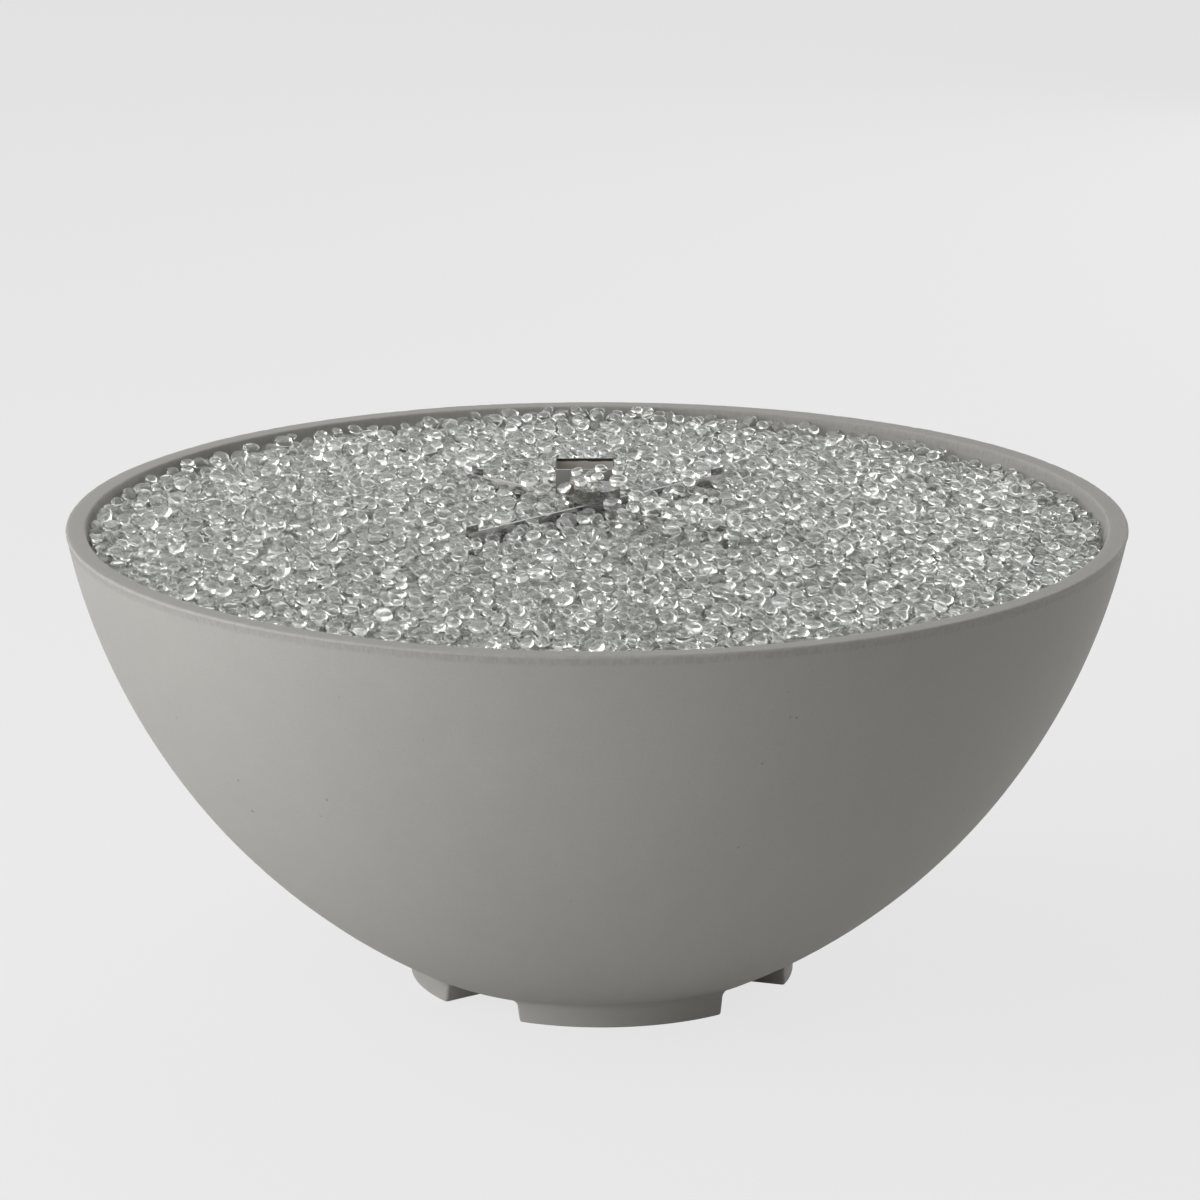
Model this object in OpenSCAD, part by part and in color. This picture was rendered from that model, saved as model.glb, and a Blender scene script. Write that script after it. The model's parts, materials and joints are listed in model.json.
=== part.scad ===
// Free-standing gas fire pit: a cast concrete bowl on four short feet, with a cross burner,
// a pilot, a hidden control panel at the rear and a bed of clear glass beads.
// +Z is up, the ground is z = 0, the bowl's axis is the Z axis and the front faces -Y.

/* [Bowl] */
// Outside diameter of the rim
rim_d = 1067; // [1000:1:1130]
// Height from the ground to the top of the rim
bowl_h = 475; // [450:1:500]
// Radius of the side's curve, seen in section
side_r = 654; // [630:1:700]
// Thickness of the wall above the ledge
wall_t = 20; // [17:0.5:24]
// Thickness of the wall below the ledge
lower_wall_t = 34; // [31:0.5:38]
// Thickness of the floor
floor_t = 30; // [24:1:36]
// Diameter of the hole in the middle of the floor
base_hole_d = 110; // [100:1:124]
// Bevel on both edges of the rim
rim_bevel = 2; // [0.5:0.5:4]
// Depth of the burner plate's ledge below the rim
ledge_depth = 58; // [52:1:66]

/* [Feet] */
// Diameter of the ring of feet
foot_ring_d = 380; // [360:1:410]
// Height of a foot
foot_h = 20; // [15:1:26]
// Thickness of a foot, towards the axis
foot_t = 48; // [40:1:56]
// Number of feet
foot_count = 4; // [3:1:5]
// Arc that one foot covers, in degrees
foot_span = 62; // [40:1:66]
// Turn of the first foot from the front, in degrees
foot_turn = 7.8; // [-20:0.1:20]

/* [Burner plate] */
// Thickness of the plate
plate_t = 2; // [1.5:0.1:3]
// Gap between the plate's edge and the wall
plate_gap = 3; // [2:0.5:6]
// Depth of the plate's turned-down lip
lip_h = 18; // [12:1:24]
// Gap between the lip's lower edge and the wall
lip_gap = 3; // [1:0.5:5]
// Diameter of a drain hole
drain_d = 10; // [6:0.5:14]
// Number of drain holes
drain_count = 12; // [6:1:18]
// Diameter of the ring of drain holes
drain_ring_d = 780; // [740:1:800]
// Length of a stiffener
stiffener_l = 660; // [560:1:700]
// Width of a stiffener
stiffener_w = 40; // [30:1:50]
// Depth of a stiffener
stiffener_h = 25; // [18:1:30]
// Distance between the two stiffeners' centrelines
stiffener_pitch = 460; // [440:1:480]

/* [Burner] */
// Distance of the burner behind the bowl's axis
burner_y = 40; // [20:1:60]
// Thickness of the burner's sheet steel
sheet_t = 1.2; // [1:0.1:1.6]
// Length of an arm from the middle of the burner to its tip
arm_l = 182; // [160:1:200]
// Width of an arm's flat top
arm_top_w = 3; // [3:0.5:6]
// Width of an arm's base
arm_base_w = 16; // [14:0.5:20]
// Height of an arm
arm_h = 26; // [22:1:30]
// Height of the arms' tops above the rim
arm_rise = 5.5; // [2:0.5:9]
// Height of an end cap's tab above the arm
tab_h = 7; // [3:0.5:9]
// Length of an end cap's tab along the arm
tab_l = 14; // [8:1:20]
// Diameter of a gas port
port_d = 3; // [2:0.5:4]
// Height of the gas ports above an arm's base
port_h = 15.5; // [12:0.5:18]
// Number of gas ports along one arm
port_count = 9; // [5:1:12]
// Width of the middle box
hub_w = 47; // [40:1:50]
// Height of the middle box above the arms
hub_rise = 17; // [10:1:22]
// Depth of the middle box below the arms
hub_drop = 4; // [2:0.5:6]
// Margin of the middle box's corner face on each side of an arm
hub_margin = 1; // [0.5:0.25:2]
// Outside diameter of the riser pipe
riser_d = 21.3; // [20:0.1:24]
// Wall of the riser pipe
riser_wall = 2.6; // [2:0.1:3]
// Size of the riser's nuts across the flats
riser_nut_af = 32; // [30:1:36]
// Thickness of a riser nut
riser_nut_t = 8; // [6:0.5:10]

/* [Air mixer] */
// Outside diameter of the mixer
mixer_d = 32; // [30:1:36]
// Length of the mixer
mixer_l = 90; // [80:1:100]
// Gap between the riser's lower nut and the mixer
mixer_gap = 4; // [2:0.5:8]
// Depth of the socket that takes the riser
mixer_socket = 14; // [10:1:18]
// Diameter of the mixing bore
mixer_bore_d = 16; // [14:0.5:17]
// Diameter of an air hole
air_hole_d = 9; // [7:0.5:11]
// Height of the air holes above the mixer's lower end
air_hole_z = 24; // [20:1:30]
// Length of the orifice's thread
orifice_thread_l = 12; // [10:1:14]
// Length of the orifice's hexagon
orifice_hex_l = 18; // [14:1:22]
// Size of the orifice's hexagon across the flats
orifice_af = 22; // [20:1:24]
// Diameter of the gas jet
jet_d = 1.8; // [1:0.1:2.5]
// Outside diameter of the gas hose
hose_d = 16; // [14:0.5:17]

/* [Pilot] */
// Width of the pilot shield
shield_w = 60; // [54:1:64]
// Depth of the pilot shield, front to back
shield_d = 50; // [40:1:54]
// Distance of the shield's middle to the right of the burner's middle
shield_x = -12.5; // [-16:0.5:4]
// Distance of the shield's middle behind the burner's middle
shield_y = 91; // [86:1:100]
// Height of the shield's top above the rim
shield_rise = 24.5; // [18:0.5:30]
// Width of a foot flange on the shield
shield_flange = 14; // [12:1:18]
// Width of a flame slot in the shield
slot_w = 6; // [4:0.5:7]
// Height of a flame slot's lower end above the bracket's shelf
slot_rise = 8; // [6:1:12]
// Length of a shield screw below the plate
shield_screw_tail = 6; // [4:1:10]
// Height of the bracket's shelf above the plate
shelf_h = 38; // [34:1:44]
// Thickness of the bracket's sheet
shelf_t = 1.5; // [1:0.1:2]
// Distance of the electrode and of the flame sensor from the shield's middle
probe_x = 9; // [8.5:0.5:10]
// Diameter of the electrode's insulator
insulator_d = 7; // [6:0.5:8]
// Length of the electrode's insulator
insulator_l = 44; // [40:1:48]
// Diameter of the spark rod
spark_rod_d = 2.4; // [2:0.1:3]
// Length of the spark rod above the insulator
spark_rod_l = 14; // [10:1:16]
// Diameter of the flame sensor
sensor_d = 6; // [5:0.5:7]
// Length of the flame sensor
sensor_l = 53; // [46:1:56]
// Height of the flame sensor's tip above the bracket
sensor_tip = 32.5; // [28:0.5:36]
// Size of the collars on the electrode and the flame sensor
collar_t = 3; // [2:0.5:3.5]
// Diameter of the electrode's lead
spark_lead_d = 5; // [4:0.5:6]
// Diameter of the flame sensor's lead
sensor_lead_d = 3; // [2.5:0.5:4]
// Wall of a lead's grommet
grommet_wall = 3; // [2:0.5:3.5]
// Size of a grommet's flange
grommet_flange = 2; // [1:0.5:2.5]

/* [Control panel] */
// Angle of the panel below the horizontal, in degrees
panel_tilt = 35; // [30:0.5:40]
// Width of the recess in the wall
recess_w = 152; // [148:1:170]
// Height of the recess in the wall
recess_h = 86; // [82:1:96]
// Depth of the recess in the wall
recess_depth = 11; // [10:0.5:13]
// Radius of the recess's corners
recess_r = 10; // [6:1:14]
// Gap between the panel and the recess
panel_gap = 1; // [0.5:0.25:2]
// Thickness of the panel
panel_t = 2; // [1.5:0.1:3]
// Width of the window behind the panel
window_w = 122; // [118:1:124]
// Height of the window behind the panel
window_h = 54; // [50:1:58]
// Distance of a panel screw from the panel's edge
panel_screw_edge = 8; // [7:0.5:9]
// Diameter of a fixing screw
screw_d = 4; // [3.5:0.1:4.5]
// Length of a fixing screw under its head
screw_l = 16; // [14:1:18]
// Diameter of a fixing screw's head
screw_head_d = 8; // [7:0.5:9]
// Height of a fixing screw's head
screw_head_h = 2.4; // [2:0.1:3]
// Diameter of a wall plug
plug_d = 6; // [5.5:0.1:6.5]
// Thickness of a wall plug's closed end
plug_end = 2; // [1:0.5:3]

/* [Valve and knob] */
// Distance of the valve from the panel's middle
valve_x = 32; // [31:0.5:34]
// Width of the valve
valve_w = 48; // [46:1:50]
// Height of the valve
valve_h = 40; // [38:1:44]
// Thickness of the valve's bonnet
bonnet_t = 8; // [6:0.5:10]
// Depth of the valve's block behind the bonnet
valve_l = 48; // [46:1:54]
// Distance of a valve screw from the valve's edge
valve_screw_edge = 5; // [4.5:0.5:6]
// Length of a valve screw in the valve's block
valve_screw_grip = 8; // [6:1:12]
// Diameter of a pipe boss on the valve
boss_d = 18; // [17:0.5:20]
// Length of a pipe boss on the valve
boss_l = 12; // [8:1:16]
// Depth of the inlet boss behind the wall's inner face
inlet_boss_depth = 18; // [15:1:20]
// Diameter of the valve's stem
stem_d = 8; // [7:0.5:9]
// Diameter of the stem's spring chamber
chamber_d = 14; // [13:0.5:16]
// Depth of the spring chamber
chamber_l = 24; // [22:1:26]
// Length of the plunger
plunger_l = 6; // [5:0.5:8]
// Diameter of the knob
knob_d = 46; // [40:1:50]
// Thickness of the knob's skirt
knob_skirt = 7; // [6:0.5:9]
// Height of the knob's grip above the skirt
grip_h = 15; // [12:1:18]
// Width of the knob's grip
grip_w = 13; // [12:0.5:16]
// Distance of the grip's ends from the skirt's edge
grip_inset = 2; // [1:0.5:4]
// How far the knob pushes in
knob_travel = 2.5; // [1.5:0.1:3]
// Gap between the pushed knob and the dial or screw heads under it
knob_gap = 1; // [0.6:0.1:2]
// Depth of the stem's seat in the knob
stem_seat = 14; // [12:1:16]
// Diameter of the dial behind the knob
dial_d = 62; // [58:1:64]
// Thickness of the dial
dial_t = 1; // [0.8:0.1:1.5]

/* [Igniter] */
// Distance of the igniter from the panel's middle
igniter_x = 38; // [37:0.5:40]
// Diameter of the igniter's barrel
igniter_d = 24; // [22:0.5:26]
// Length of the igniter behind the panel's seat
igniter_l = 86; // [84:1:96]
// Diameter of the igniter's flange
igniter_flange_d = 32; // [30:1:34]
// Thickness of the igniter's flange
igniter_flange_t = 3; // [2:0.5:4]
// Size of the igniter's nut across the flats
igniter_nut_af = 30; // [29:1:32]
// Thickness of the igniter's nut
igniter_nut_t = 5; // [4:0.5:6]
// Diameter of the igniter's bore
igniter_bore_d = 16; // [15.5:0.1:17]
// Thickness of the igniter's closed end
igniter_end_t = 6; // [4:0.5:8]
// Height of the button above the flange
button_rise = 8; // [7:0.5:10]
// Length of the button inside the barrel
button_inside = 20; // [16:1:22]
// How far the button pushes in
button_travel = 5; // [3:0.5:6]
// Diameter of the battery
battery_d = 14.5; // [14:0.1:15]
// Length of the battery
battery_l = 49; // [47:0.5:50]
// Diameter of the lead's terminal on the igniter
terminal_d = 7; // [6:0.5:8]
// Length of the lead's terminal on the igniter
terminal_l = 8; // [6:1:10]

/* [Springs] */
// Outside diameter of a spring
spring_d = 11; // [10:0.5:12]
// Diameter of a spring's wire
spring_wire = 1; // [0.8:0.1:1.2]
// Number of turns in a spring
spring_turns = 5; // [4:1:6]

/* [Gas inlet] */
// Diameter of the inlet plate
inlet_plate_d = 170; // [156:1:180]
// Thickness of the inlet plate
inlet_plate_t = 3; // [2:0.5:4]
// Diameter of the ring of inlet plate screws
inlet_ring_d = 140; // [134:1:144]
// Number of inlet plate screws
inlet_screw_count = 3; // [3:1:6]
// Diameter of a vent hole in the inlet plate
vent_d = 16; // [10:1:18]
// Diameter of the ring of vent holes
vent_ring_d = 76; // [70:1:82]
// Number of vent holes
vent_count = 6; // [4:1:8]
// Diameter of the inlet's flare thread
flare_d = 15.88; // [15:0.01:17]
// Length of the inlet's flare thread
flare_l = 20; // [16:1:22]
// Size of the inlet's hexagon across the flats
inlet_af = 24; // [22:1:27]
// Thickness of the inlet's hexagon and of its nut
inlet_nut_t = 6; // [5:0.5:8]
// Length of the inlet's shank above the plate
inlet_shank_l = 25; // [20:1:30]
// Outside diameter of the pipe from the inlet to the valve
pipe_d = 12; // [10:0.5:13]

/* [Fire glass] */
// Depth of the glass below the rim at the wall
glass_edge = 11; // [7:1:24]
// Height of the glass above the rim in the middle
glass_crown = 5; // [0:0.5:8]
// Gap between the glass and what stands in it
glass_gap = 1; // [0.5:0.25:2]

/* [Fits] */
// Gap round a shaft that turns or slides
run_gap = 0.05; // [0.03:0.01:0.08]
// Gap round a screw or a pipe in its hole
hole_gap = 0.3; // [0.2:0.05:0.5]
// Gap round a thread or a plug in its seat
seat_gap = 0.03; // [0.02:0.01:0.05]

/* [Hidden] */
$fn = 96;
cut = 1;
rim_r = rim_d / 2;
foot_ring_r = foot_ring_d / 2;

function arc_centre(a, b, r) =
    let (mid = (a + b) / 2)
    let (chord = b - a)
    let (rise = sqrt(r * r - chord * chord / 4))
    mid + rise * [chord[1], -chord[0]] / norm(chord);

// Centre of the side's curve, as [distance from the axis, height]
side_c = arc_centre([rim_r, bowl_h], [foot_ring_r, foot_h], side_r);

// Distance from the axis of the side's curve, set in by inset, at height z
function side_x(z, inset) = side_c[0] + sqrt(pow(side_r - inset, 2) - pow(z - side_c[1], 2));

floor_z = foot_h + floor_t;
ledge_z = bowl_h - ledge_depth;
plate_z = ledge_z + plate_t;
plate_r = side_x(ledge_z, wall_t) - plate_gap;
lip_r = side_x(ledge_z - lip_h, lower_wall_t) - lip_gap;

arm_top_z = bowl_h + arm_rise;
arm_z = arm_top_z - arm_h;
hub_top_z = arm_top_z + hub_rise;
hub_z = arm_z - hub_drop;
hub_face = arm_base_w / 2 + hub_margin;
hub_corner = hub_w / 2 - hub_face * sqrt(2);
arm_start = (hub_w / 2 + hub_corner) / sqrt(2);
arm_lean = atan((arm_base_w - arm_top_w) / 2 / arm_h);
burner_pos = [0, burner_y, 0];

riser_top_z = hub_z + riser_nut_t;
lower_nut_z = ledge_z - riser_nut_t;
mixer_top_z = lower_nut_z - mixer_gap;
mixer_z = mixer_top_z - mixer_l;
riser_z = mixer_top_z - mixer_socket;
orifice_z = mixer_z - orifice_hex_l;

shield_pos = [shield_x, burner_y + shield_y, 0];
shield_top_z = bowl_h + shield_rise;
shelf_z = plate_z + shelf_h;
insulator_z = shelf_z + shelf_t - insulator_l / 2;
sensor_z = shelf_z + shelf_t + sensor_tip - sensor_l;

// Middle of the control panel on the wall's outside, as [distance from the axis, height]
panel_c = side_c + side_r * [cos(panel_tilt), -sin(panel_tilt)];
seat_z = -recess_depth;
face_z = seat_z + panel_t;
panel_w = recess_w - 2 * panel_gap;
panel_h = recess_h - 2 * panel_gap;
panel_screw_x = panel_w / 2 - panel_screw_edge;
panel_screw_y = panel_h / 2 - panel_screw_edge;
bonnet_z = seat_z - bonnet_t;
valve_back_z = bonnet_z - valve_l;
boss_back_z = valve_back_z - boss_l;
inlet_boss_z = -lower_wall_t - inlet_boss_depth;
outlet_x = -valve_x + valve_w / 4;
sensor_x = -valve_x - valve_w / 4;
valve_screw_y = valve_h / 2 - valve_screw_edge;
valve_screw_depth = bonnet_t + valve_screw_grip;
plunger_z = bonnet_z - plunger_l;
chamber_z = bonnet_z - chamber_l;
knob_z = face_z + max(dial_t, screw_head_h) + knob_travel + knob_gap;
grip_top_z = knob_z + knob_skirt + grip_h;
stem_top_z = knob_z + stem_seat;
igniter_back_z = seat_z - igniter_l;
igniter_floor_z = igniter_back_z + igniter_end_t;
igniter_top_z = face_z + igniter_flange_t;
button_top_z = igniter_top_z + button_rise;
button_z = igniter_top_z - button_inside;
battery_top_z = igniter_floor_z + battery_l;
terminal_z = igniter_back_z - terminal_l;

// The same place in the bowl's frame as a place on the panel
function panel_point(p) = [
    p[0],
    panel_c[0] - sin(panel_tilt) * p[1] + cos(panel_tilt) * p[2],
    panel_c[1] - cos(panel_tilt) * p[1] - sin(panel_tilt) * p[2]
];

inlet_shank_z = floor_z + inlet_plate_t + inlet_shank_l;
flare_z = floor_z - inlet_nut_t - flare_l;
glass_edge_r = side_x(bowl_h - glass_edge, wall_t + glass_gap);
glass_rise = glass_edge + glass_crown;
dome_steps = 12;
function glass_top(r) = bowl_h + glass_crown - glass_rise * pow(r / glass_edge_r, 2);

// Routes of the hose, pipe and leads, from one fitting to the other
tube_sides = 10;
lead_sides = 8;
straight = 36;
hose_start = panel_point([outlet_x, 0, boss_back_z]);
hose_end = [0, burner_y, orifice_z];
hose_route = [
    hose_start,
    panel_point([outlet_x, 0, boss_back_z - straight]),
    [-16, 250, 300],
    [-10, 170, 245],
    [-4, 90, 195],
    hose_end - [0, 0, 2.4 * straight],
    hose_end - [0, 0, straight],
    hose_end
];
pipe_start = [0, 0, inlet_shank_z];
pipe_end_y = valve_h / 2 + boss_l;
pipe_route = [
    pipe_start,
    pipe_start + [0, 0, straight],
    [-2, 45, 145],
    [-12, 140, 150],
    [-24, 240, 162],
    panel_point([-valve_x, pipe_end_y + straight, inlet_boss_z]),
    panel_point([-valve_x, pipe_end_y, inlet_boss_z])
];
sensor_route = [
    shield_pos + [-probe_x, 0, sensor_z],
    shield_pos + [-probe_x, 0, plate_z],
    shield_pos + [-probe_x, 0, ledge_z - straight],
    [-30, 190, 345],
    [-42, 270, 330],
    panel_point([sensor_x, 0, boss_back_z - straight]),
    panel_point([sensor_x, 0, boss_back_z])
];
spark_route = [
    shield_pos + [probe_x, 0, insulator_z],
    shield_pos + [probe_x, 0, plate_z],
    shield_pos + [probe_x, 0, ledge_z - straight],
    [14, 190, 345],
    [30, 262, 335],
    panel_point([igniter_x, 0, terminal_z - straight]),
    panel_point([igniter_x, 0, terminal_z])
];

function unit(v) = v / norm(v);
function last(list) = list[len(list) - 1];
function between(p, q, r, s, t) =
    q + (r - p) * t / 2 + (2 * p - 5 * q + 4 * r - s) * t * t / 2
    + (3 * (q - r) + s - p) * t * t * t / 2;

// A smooth line through the points of a route, straight for half of its first and last legs
function smooth_line(route, steps) =
    let (n = len(route))
    let (first_half = (route[1] - route[0]) / 2)
    let (last_half = (route[n - 1] - route[n - 2]) / 2)
    let (inner = [for (i = [1 : n - 2]) route[i]])
    let (ends = concat(
        [route[0] - first_half, route[0], route[0] + first_half],
        inner,
        [route[n - 1] - last_half, route[n - 1], route[n - 1] + last_half]
    ))
    concat(
        [for (i = [0 : len(ends) - 4], k = [0 : steps - 1])
            between(ends[i], ends[i + 1], ends[i + 2], ends[i + 3], k / steps)],
        [last(route)]
    );

function heading(line, i) =
    i == 0 ? unit(line[1] - line[0])
    : i == len(line) - 1 ? unit(line[i] - line[i - 1])
    : unit(line[i + 1] - line[i - 1]);

// One sideways direction for each point of a line, each turned as little as can be from the last
function sideways(line) =
    [for (i = 0, s = unit(cross(heading(line, 0), [0.3, 0.9, 0.2]));
          i < len(line);
          i = i + 1,
          s = i < len(line) ? unit(s - (s * heading(line, i)) * heading(line, i)) : s) s];

module tube(line, d, sides) {
    across = sideways(line);
    rings = len(line);
    points = [for (i = [0 : rings - 1], k = [0 : sides - 1])
        let (up = cross(heading(line, i), across[i]))
        line[i] + d / 2 * (cos(360 * k / sides) * across[i] + sin(360 * k / sides) * up)];
    skin = [for (i = [0 : rings - 2], k = [0 : sides - 1])
        let (a = i * sides + k)
        let (b = i * sides + (k + 1) % sides)
        each [[a, b, b + sides], [a, b + sides, a + sides]]];
    start = [for (k = [1 : sides - 2]) [0, k + 1, k]];
    end = [for (k = [1 : sides - 2])
        let (a = (rings - 1) * sides)
        [a, a + k, a + k + 1]];
    polyhedron(points = points, faces = concat(skin, start, end));
}

coil_steps = 8;
coil_sides = 6;
function coil_line(z0, z1) =
    let (low = z0 + spring_wire / 2)
    let (high = z1 - spring_wire / 2)
    let (r = (spring_d - spring_wire) / 2)
    [for (i = [0 : spring_turns * coil_steps])
        let (turn = 360 * i / coil_steps)
        [r * cos(turn), r * sin(turn), low + (high - low) * i / (spring_turns * coil_steps)]];
function coil_gap(line) =
    min([for (i = [0 : len(line) - 1 - coil_steps]) norm(line[i + coil_steps] - line[i])]) - spring_wire;

module spring(z0, z1) {
    line = coil_line(z0, z1);
    echo(least_gap_between_turns = coil_gap(line));
    tube(line, spring_wire, coil_sides);
}

// Moves to the panel: its +Z leaves the wall and its +Y runs down the wall
module at_panel() {
    translate([0, panel_c[0], panel_c[1]]) rotate([-90 - panel_tilt, 0, 0]) children();
}

module at_panel_screws() {
    for (x = [-panel_screw_x, panel_screw_x], y = [-panel_screw_y, panel_screw_y])
        translate([x, y, face_z]) children();
}

module at_valve_screws() {
    for (y = [-valve_screw_y, valve_screw_y])
        translate([-valve_x, y, face_z]) children();
}

module at_inlet_screws() {
    for (i = [0 : inlet_screw_count - 1])
        rotate([0, 0, 90 + 360 * i / inlet_screw_count])
            translate([inlet_ring_d / 2, 0, floor_z + inlet_plate_t]) children();
}

module at_shield_screws() {
    for (side = [-1, 1])
        translate(shield_pos + [side * (shield_w + shield_flange) / 2, 0, plate_z + sheet_t]) children();
}

module at_arm(i) {
    translate(burner_pos) rotate([0, 0, 45 + 90 * i]) children();
}

// A straight round bar from z0 to z1
module bar(d, z0, z1) {
    translate([0, 0, z0]) cylinder(d = d, h = z1 - z0);
}

module hex_bar(af, z0, z1) {
    translate([0, 0, z0]) cylinder(d = af / cos(30), h = z1 - z0, $fn = 6);
}

// A box centred on X and Y, from z0 to z1
module block(w, d, z0, z1) {
    translate([-w / 2, -d / 2, z0]) cube([w, d, z1 - z0]);
}

module round_block(w, d, r, z0, z1) {
    block(w - 2 * r, d, z0, z1);
    block(w, d - 2 * r, z0, z1);
    for (x = [r - w / 2, w / 2 - r], y = [r - d / 2, d / 2 - r])
        translate([x, y, 0]) bar(2 * r, z0, z1);
}

// A pan-head screw, with the underside of its head at z = 0
module screw(length) {
    bar(screw_head_d, 0, screw_head_h);
    bar(screw_d, -length, cut / 2);
}

module screw_hole(depth) {
    bar(screw_d + 2 * hole_gap, -depth, cut);
}

module plug_hole(depth) {
    bar(plug_d + 2 * seat_gap, -depth, 0);
}

// A wall plug that reaches from z0 down to the screw's end
module plug(z0) {
    difference() {
        bar(plug_d, -screw_l - plug_end, z0);
        bar(screw_d + 2 * seat_gap, -screw_l, z0 + cut);
    }
}

// The region inside the side's curve, set in by inset, between two heights
module side_region(inset, z0, z1) {
    intersection() {
        translate(side_c) circle(r = side_r - inset);
        translate([0, z0]) square([rim_d, z1 - z0]);
    }
}

module rim_bevels() {
    inner = side_x(bowl_h, wall_t);
    b = rim_bevel;
    polygon([[rim_r - b, bowl_h + cut], [rim_r - b, bowl_h], [rim_r + cut, bowl_h - b - cut],
        [rim_r + cut, bowl_h + cut]]);
    polygon([[inner + b, bowl_h + cut], [inner + b, bowl_h], [inner - cut, bowl_h - b - cut],
        [inner - cut, bowl_h + cut]]);
}

module bowl_section() {
    difference() {
        side_region(0, foot_h, bowl_h);
        side_region(lower_wall_t, floor_z, ledge_z + cut);
        side_region(wall_t, ledge_z, bowl_h + cut);
        translate([0, foot_h - cut]) square([base_hole_d / 2, floor_t + 2 * cut]);
        rim_bevels();
    }
}

module feet() {
    foot_root = floor_t / 4;
    for (i = [0 : foot_count - 1])
        rotate([0, 0, -90 + foot_turn + 360 * i / foot_count - foot_span / 2])
            rotate_extrude(angle = foot_span)
                translate([foot_ring_r - foot_t, 0]) square([foot_t, foot_h + foot_root]);
}

module bowl() color("#8f8d87") {
    difference() {
        union() {
            rotate_extrude() bowl_section();
            feet();
        }
        at_panel() {
            round_block(recess_w, recess_h, recess_r, seat_z, recess_depth);
            block(window_w, window_h, -2 * lower_wall_t, seat_z + cut);
            at_panel_screws() plug_hole(screw_l + plug_end);
        }
        at_inlet_screws() plug_hole(screw_l + plug_end);
    }
}

module burner_plate() color("#b9b8b4") {
    difference() {
        union() {
            bar(2 * plate_r, ledge_z, plate_z);
            difference() {
                bar(2 * lip_r, ledge_z - lip_h, ledge_z + plate_t / 2);
                bar(2 * (lip_r - plate_t), ledge_z - lip_h - cut, ledge_z);
            }
        }
        translate(burner_pos) bar(riser_d + 2 * hole_gap, ledge_z - cut, plate_z + cut);
        for (i = [0 : drain_count - 1])
            rotate([0, 0, 360 * (i + 0.5) / drain_count])
                translate([drain_ring_d / 2, 0, 0]) bar(drain_d, ledge_z - cut, plate_z + cut);
        for (d = [[-probe_x, sensor_lead_d], [probe_x, spark_lead_d]])
            translate(shield_pos + [d[0], 0, 0])
                bar(d[1] + 2 * grommet_wall, ledge_z - cut, plate_z + cut);
        at_shield_screws() screw_hole(sheet_t + plate_t + cut);
    }
}

module plate_stiffeners() color("#9c9c9a") {
    web = plate_t;
    for (y = [-stiffener_pitch / 2, stiffener_pitch / 2])
        translate([-stiffener_l / 2, y, ledge_z]) rotate([90, 0, 90]) linear_extrude(stiffener_l)
            difference() {
                translate([-stiffener_w / 2, -stiffener_h]) square([stiffener_w, stiffener_h]);
                translate([web - stiffener_w / 2, web - stiffener_h])
                    square([stiffener_w - 2 * web, stiffener_h - 2 * web]);
            }
}

// The middle box's outline, set in by inset
module hub_outline(inset) {
    h = hub_w / 2 - inset;
    c = hub_corner + inset * (1 - sqrt(2));
    polygon([[h, -c], [h, c], [c, h], [-c, h], [-h, c], [-h, -c], [-c, -h], [c, -h]]);
}

module burner_hub() color("#8d8a84") {
    difference() {
        translate([0, burner_y, hub_z]) linear_extrude(hub_top_z - hub_z) hub_outline(0);
        translate([0, burner_y, hub_z + sheet_t])
            linear_extrude(hub_top_z - hub_z - 2 * sheet_t) hub_outline(sheet_t);
        translate(burner_pos) bar(riser_d + 2 * hole_gap, hub_z - cut, hub_z + sheet_t + cut);
        for (i = [0 : 3])
            at_arm(i) translate([arm_start - 2 * sheet_t, -arm_top_w / 2, arm_z + 2 * sheet_t])
                cube([4 * sheet_t, arm_top_w, arm_h / 2]);
    }
}

// Half of an arm's width at a height above its base
function arm_half(z) = arm_base_w / 2 - z * tan(arm_lean);

module arm_outline(inset) {
    side = inset / cos(arm_lean);
    low = arm_half(inset) - side;
    high = arm_half(arm_h - inset) - side;
    polygon([[-low, inset], [low, inset], [high, arm_h - inset], [-high, arm_h - inset]]);
}

module burner_arm(i) color("#a5a29b") {
    length = arm_l - sheet_t - arm_start;
    at_arm(i) translate([arm_start, 0, arm_z])
        difference() {
            rotate([90, 0, 90]) linear_extrude(length)
                difference() {
                    arm_outline(0);
                    arm_outline(sheet_t);
                }
            for (k = [1 : port_count])
                translate([length * k / (port_count + 1), arm_base_w / 2 + cut, port_h])
                    rotate([90, 0, 0]) cylinder(d = port_d, h = arm_base_w + 2 * cut);
        }
}

module arm_end_caps() color("#6f6c66") {
    for (i = [0 : 3])
        at_arm(i) translate([arm_l, 0, arm_z]) {
            translate([-sheet_t, 0, 0]) rotate([90, 0, 90]) linear_extrude(sheet_t) {
                arm_outline(0);
                translate([-arm_top_w / 2, arm_h - cut]) square([arm_top_w, tab_h + cut]);
            }
            translate([-tab_l, -arm_top_w / 2, arm_h]) cube([tab_l, arm_top_w, tab_h]);
        }
}

module burner_riser() color("#77756f") {
    translate(burner_pos) difference() {
        bar(riser_d, riser_z, riser_top_z);
        bar(riser_d - 2 * riser_wall, riser_z - cut, riser_top_z + cut);
    }
}

module riser_nuts() color("#c2a35a") {
    translate(burner_pos)
        for (z = [lower_nut_z, plate_z, hub_z - riser_nut_t])
            difference() {
                hex_bar(riser_nut_af, z, z + riser_nut_t);
                bar(riser_d + 2 * seat_gap, z - cut, z + riser_nut_t + cut);
            }
}

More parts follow.
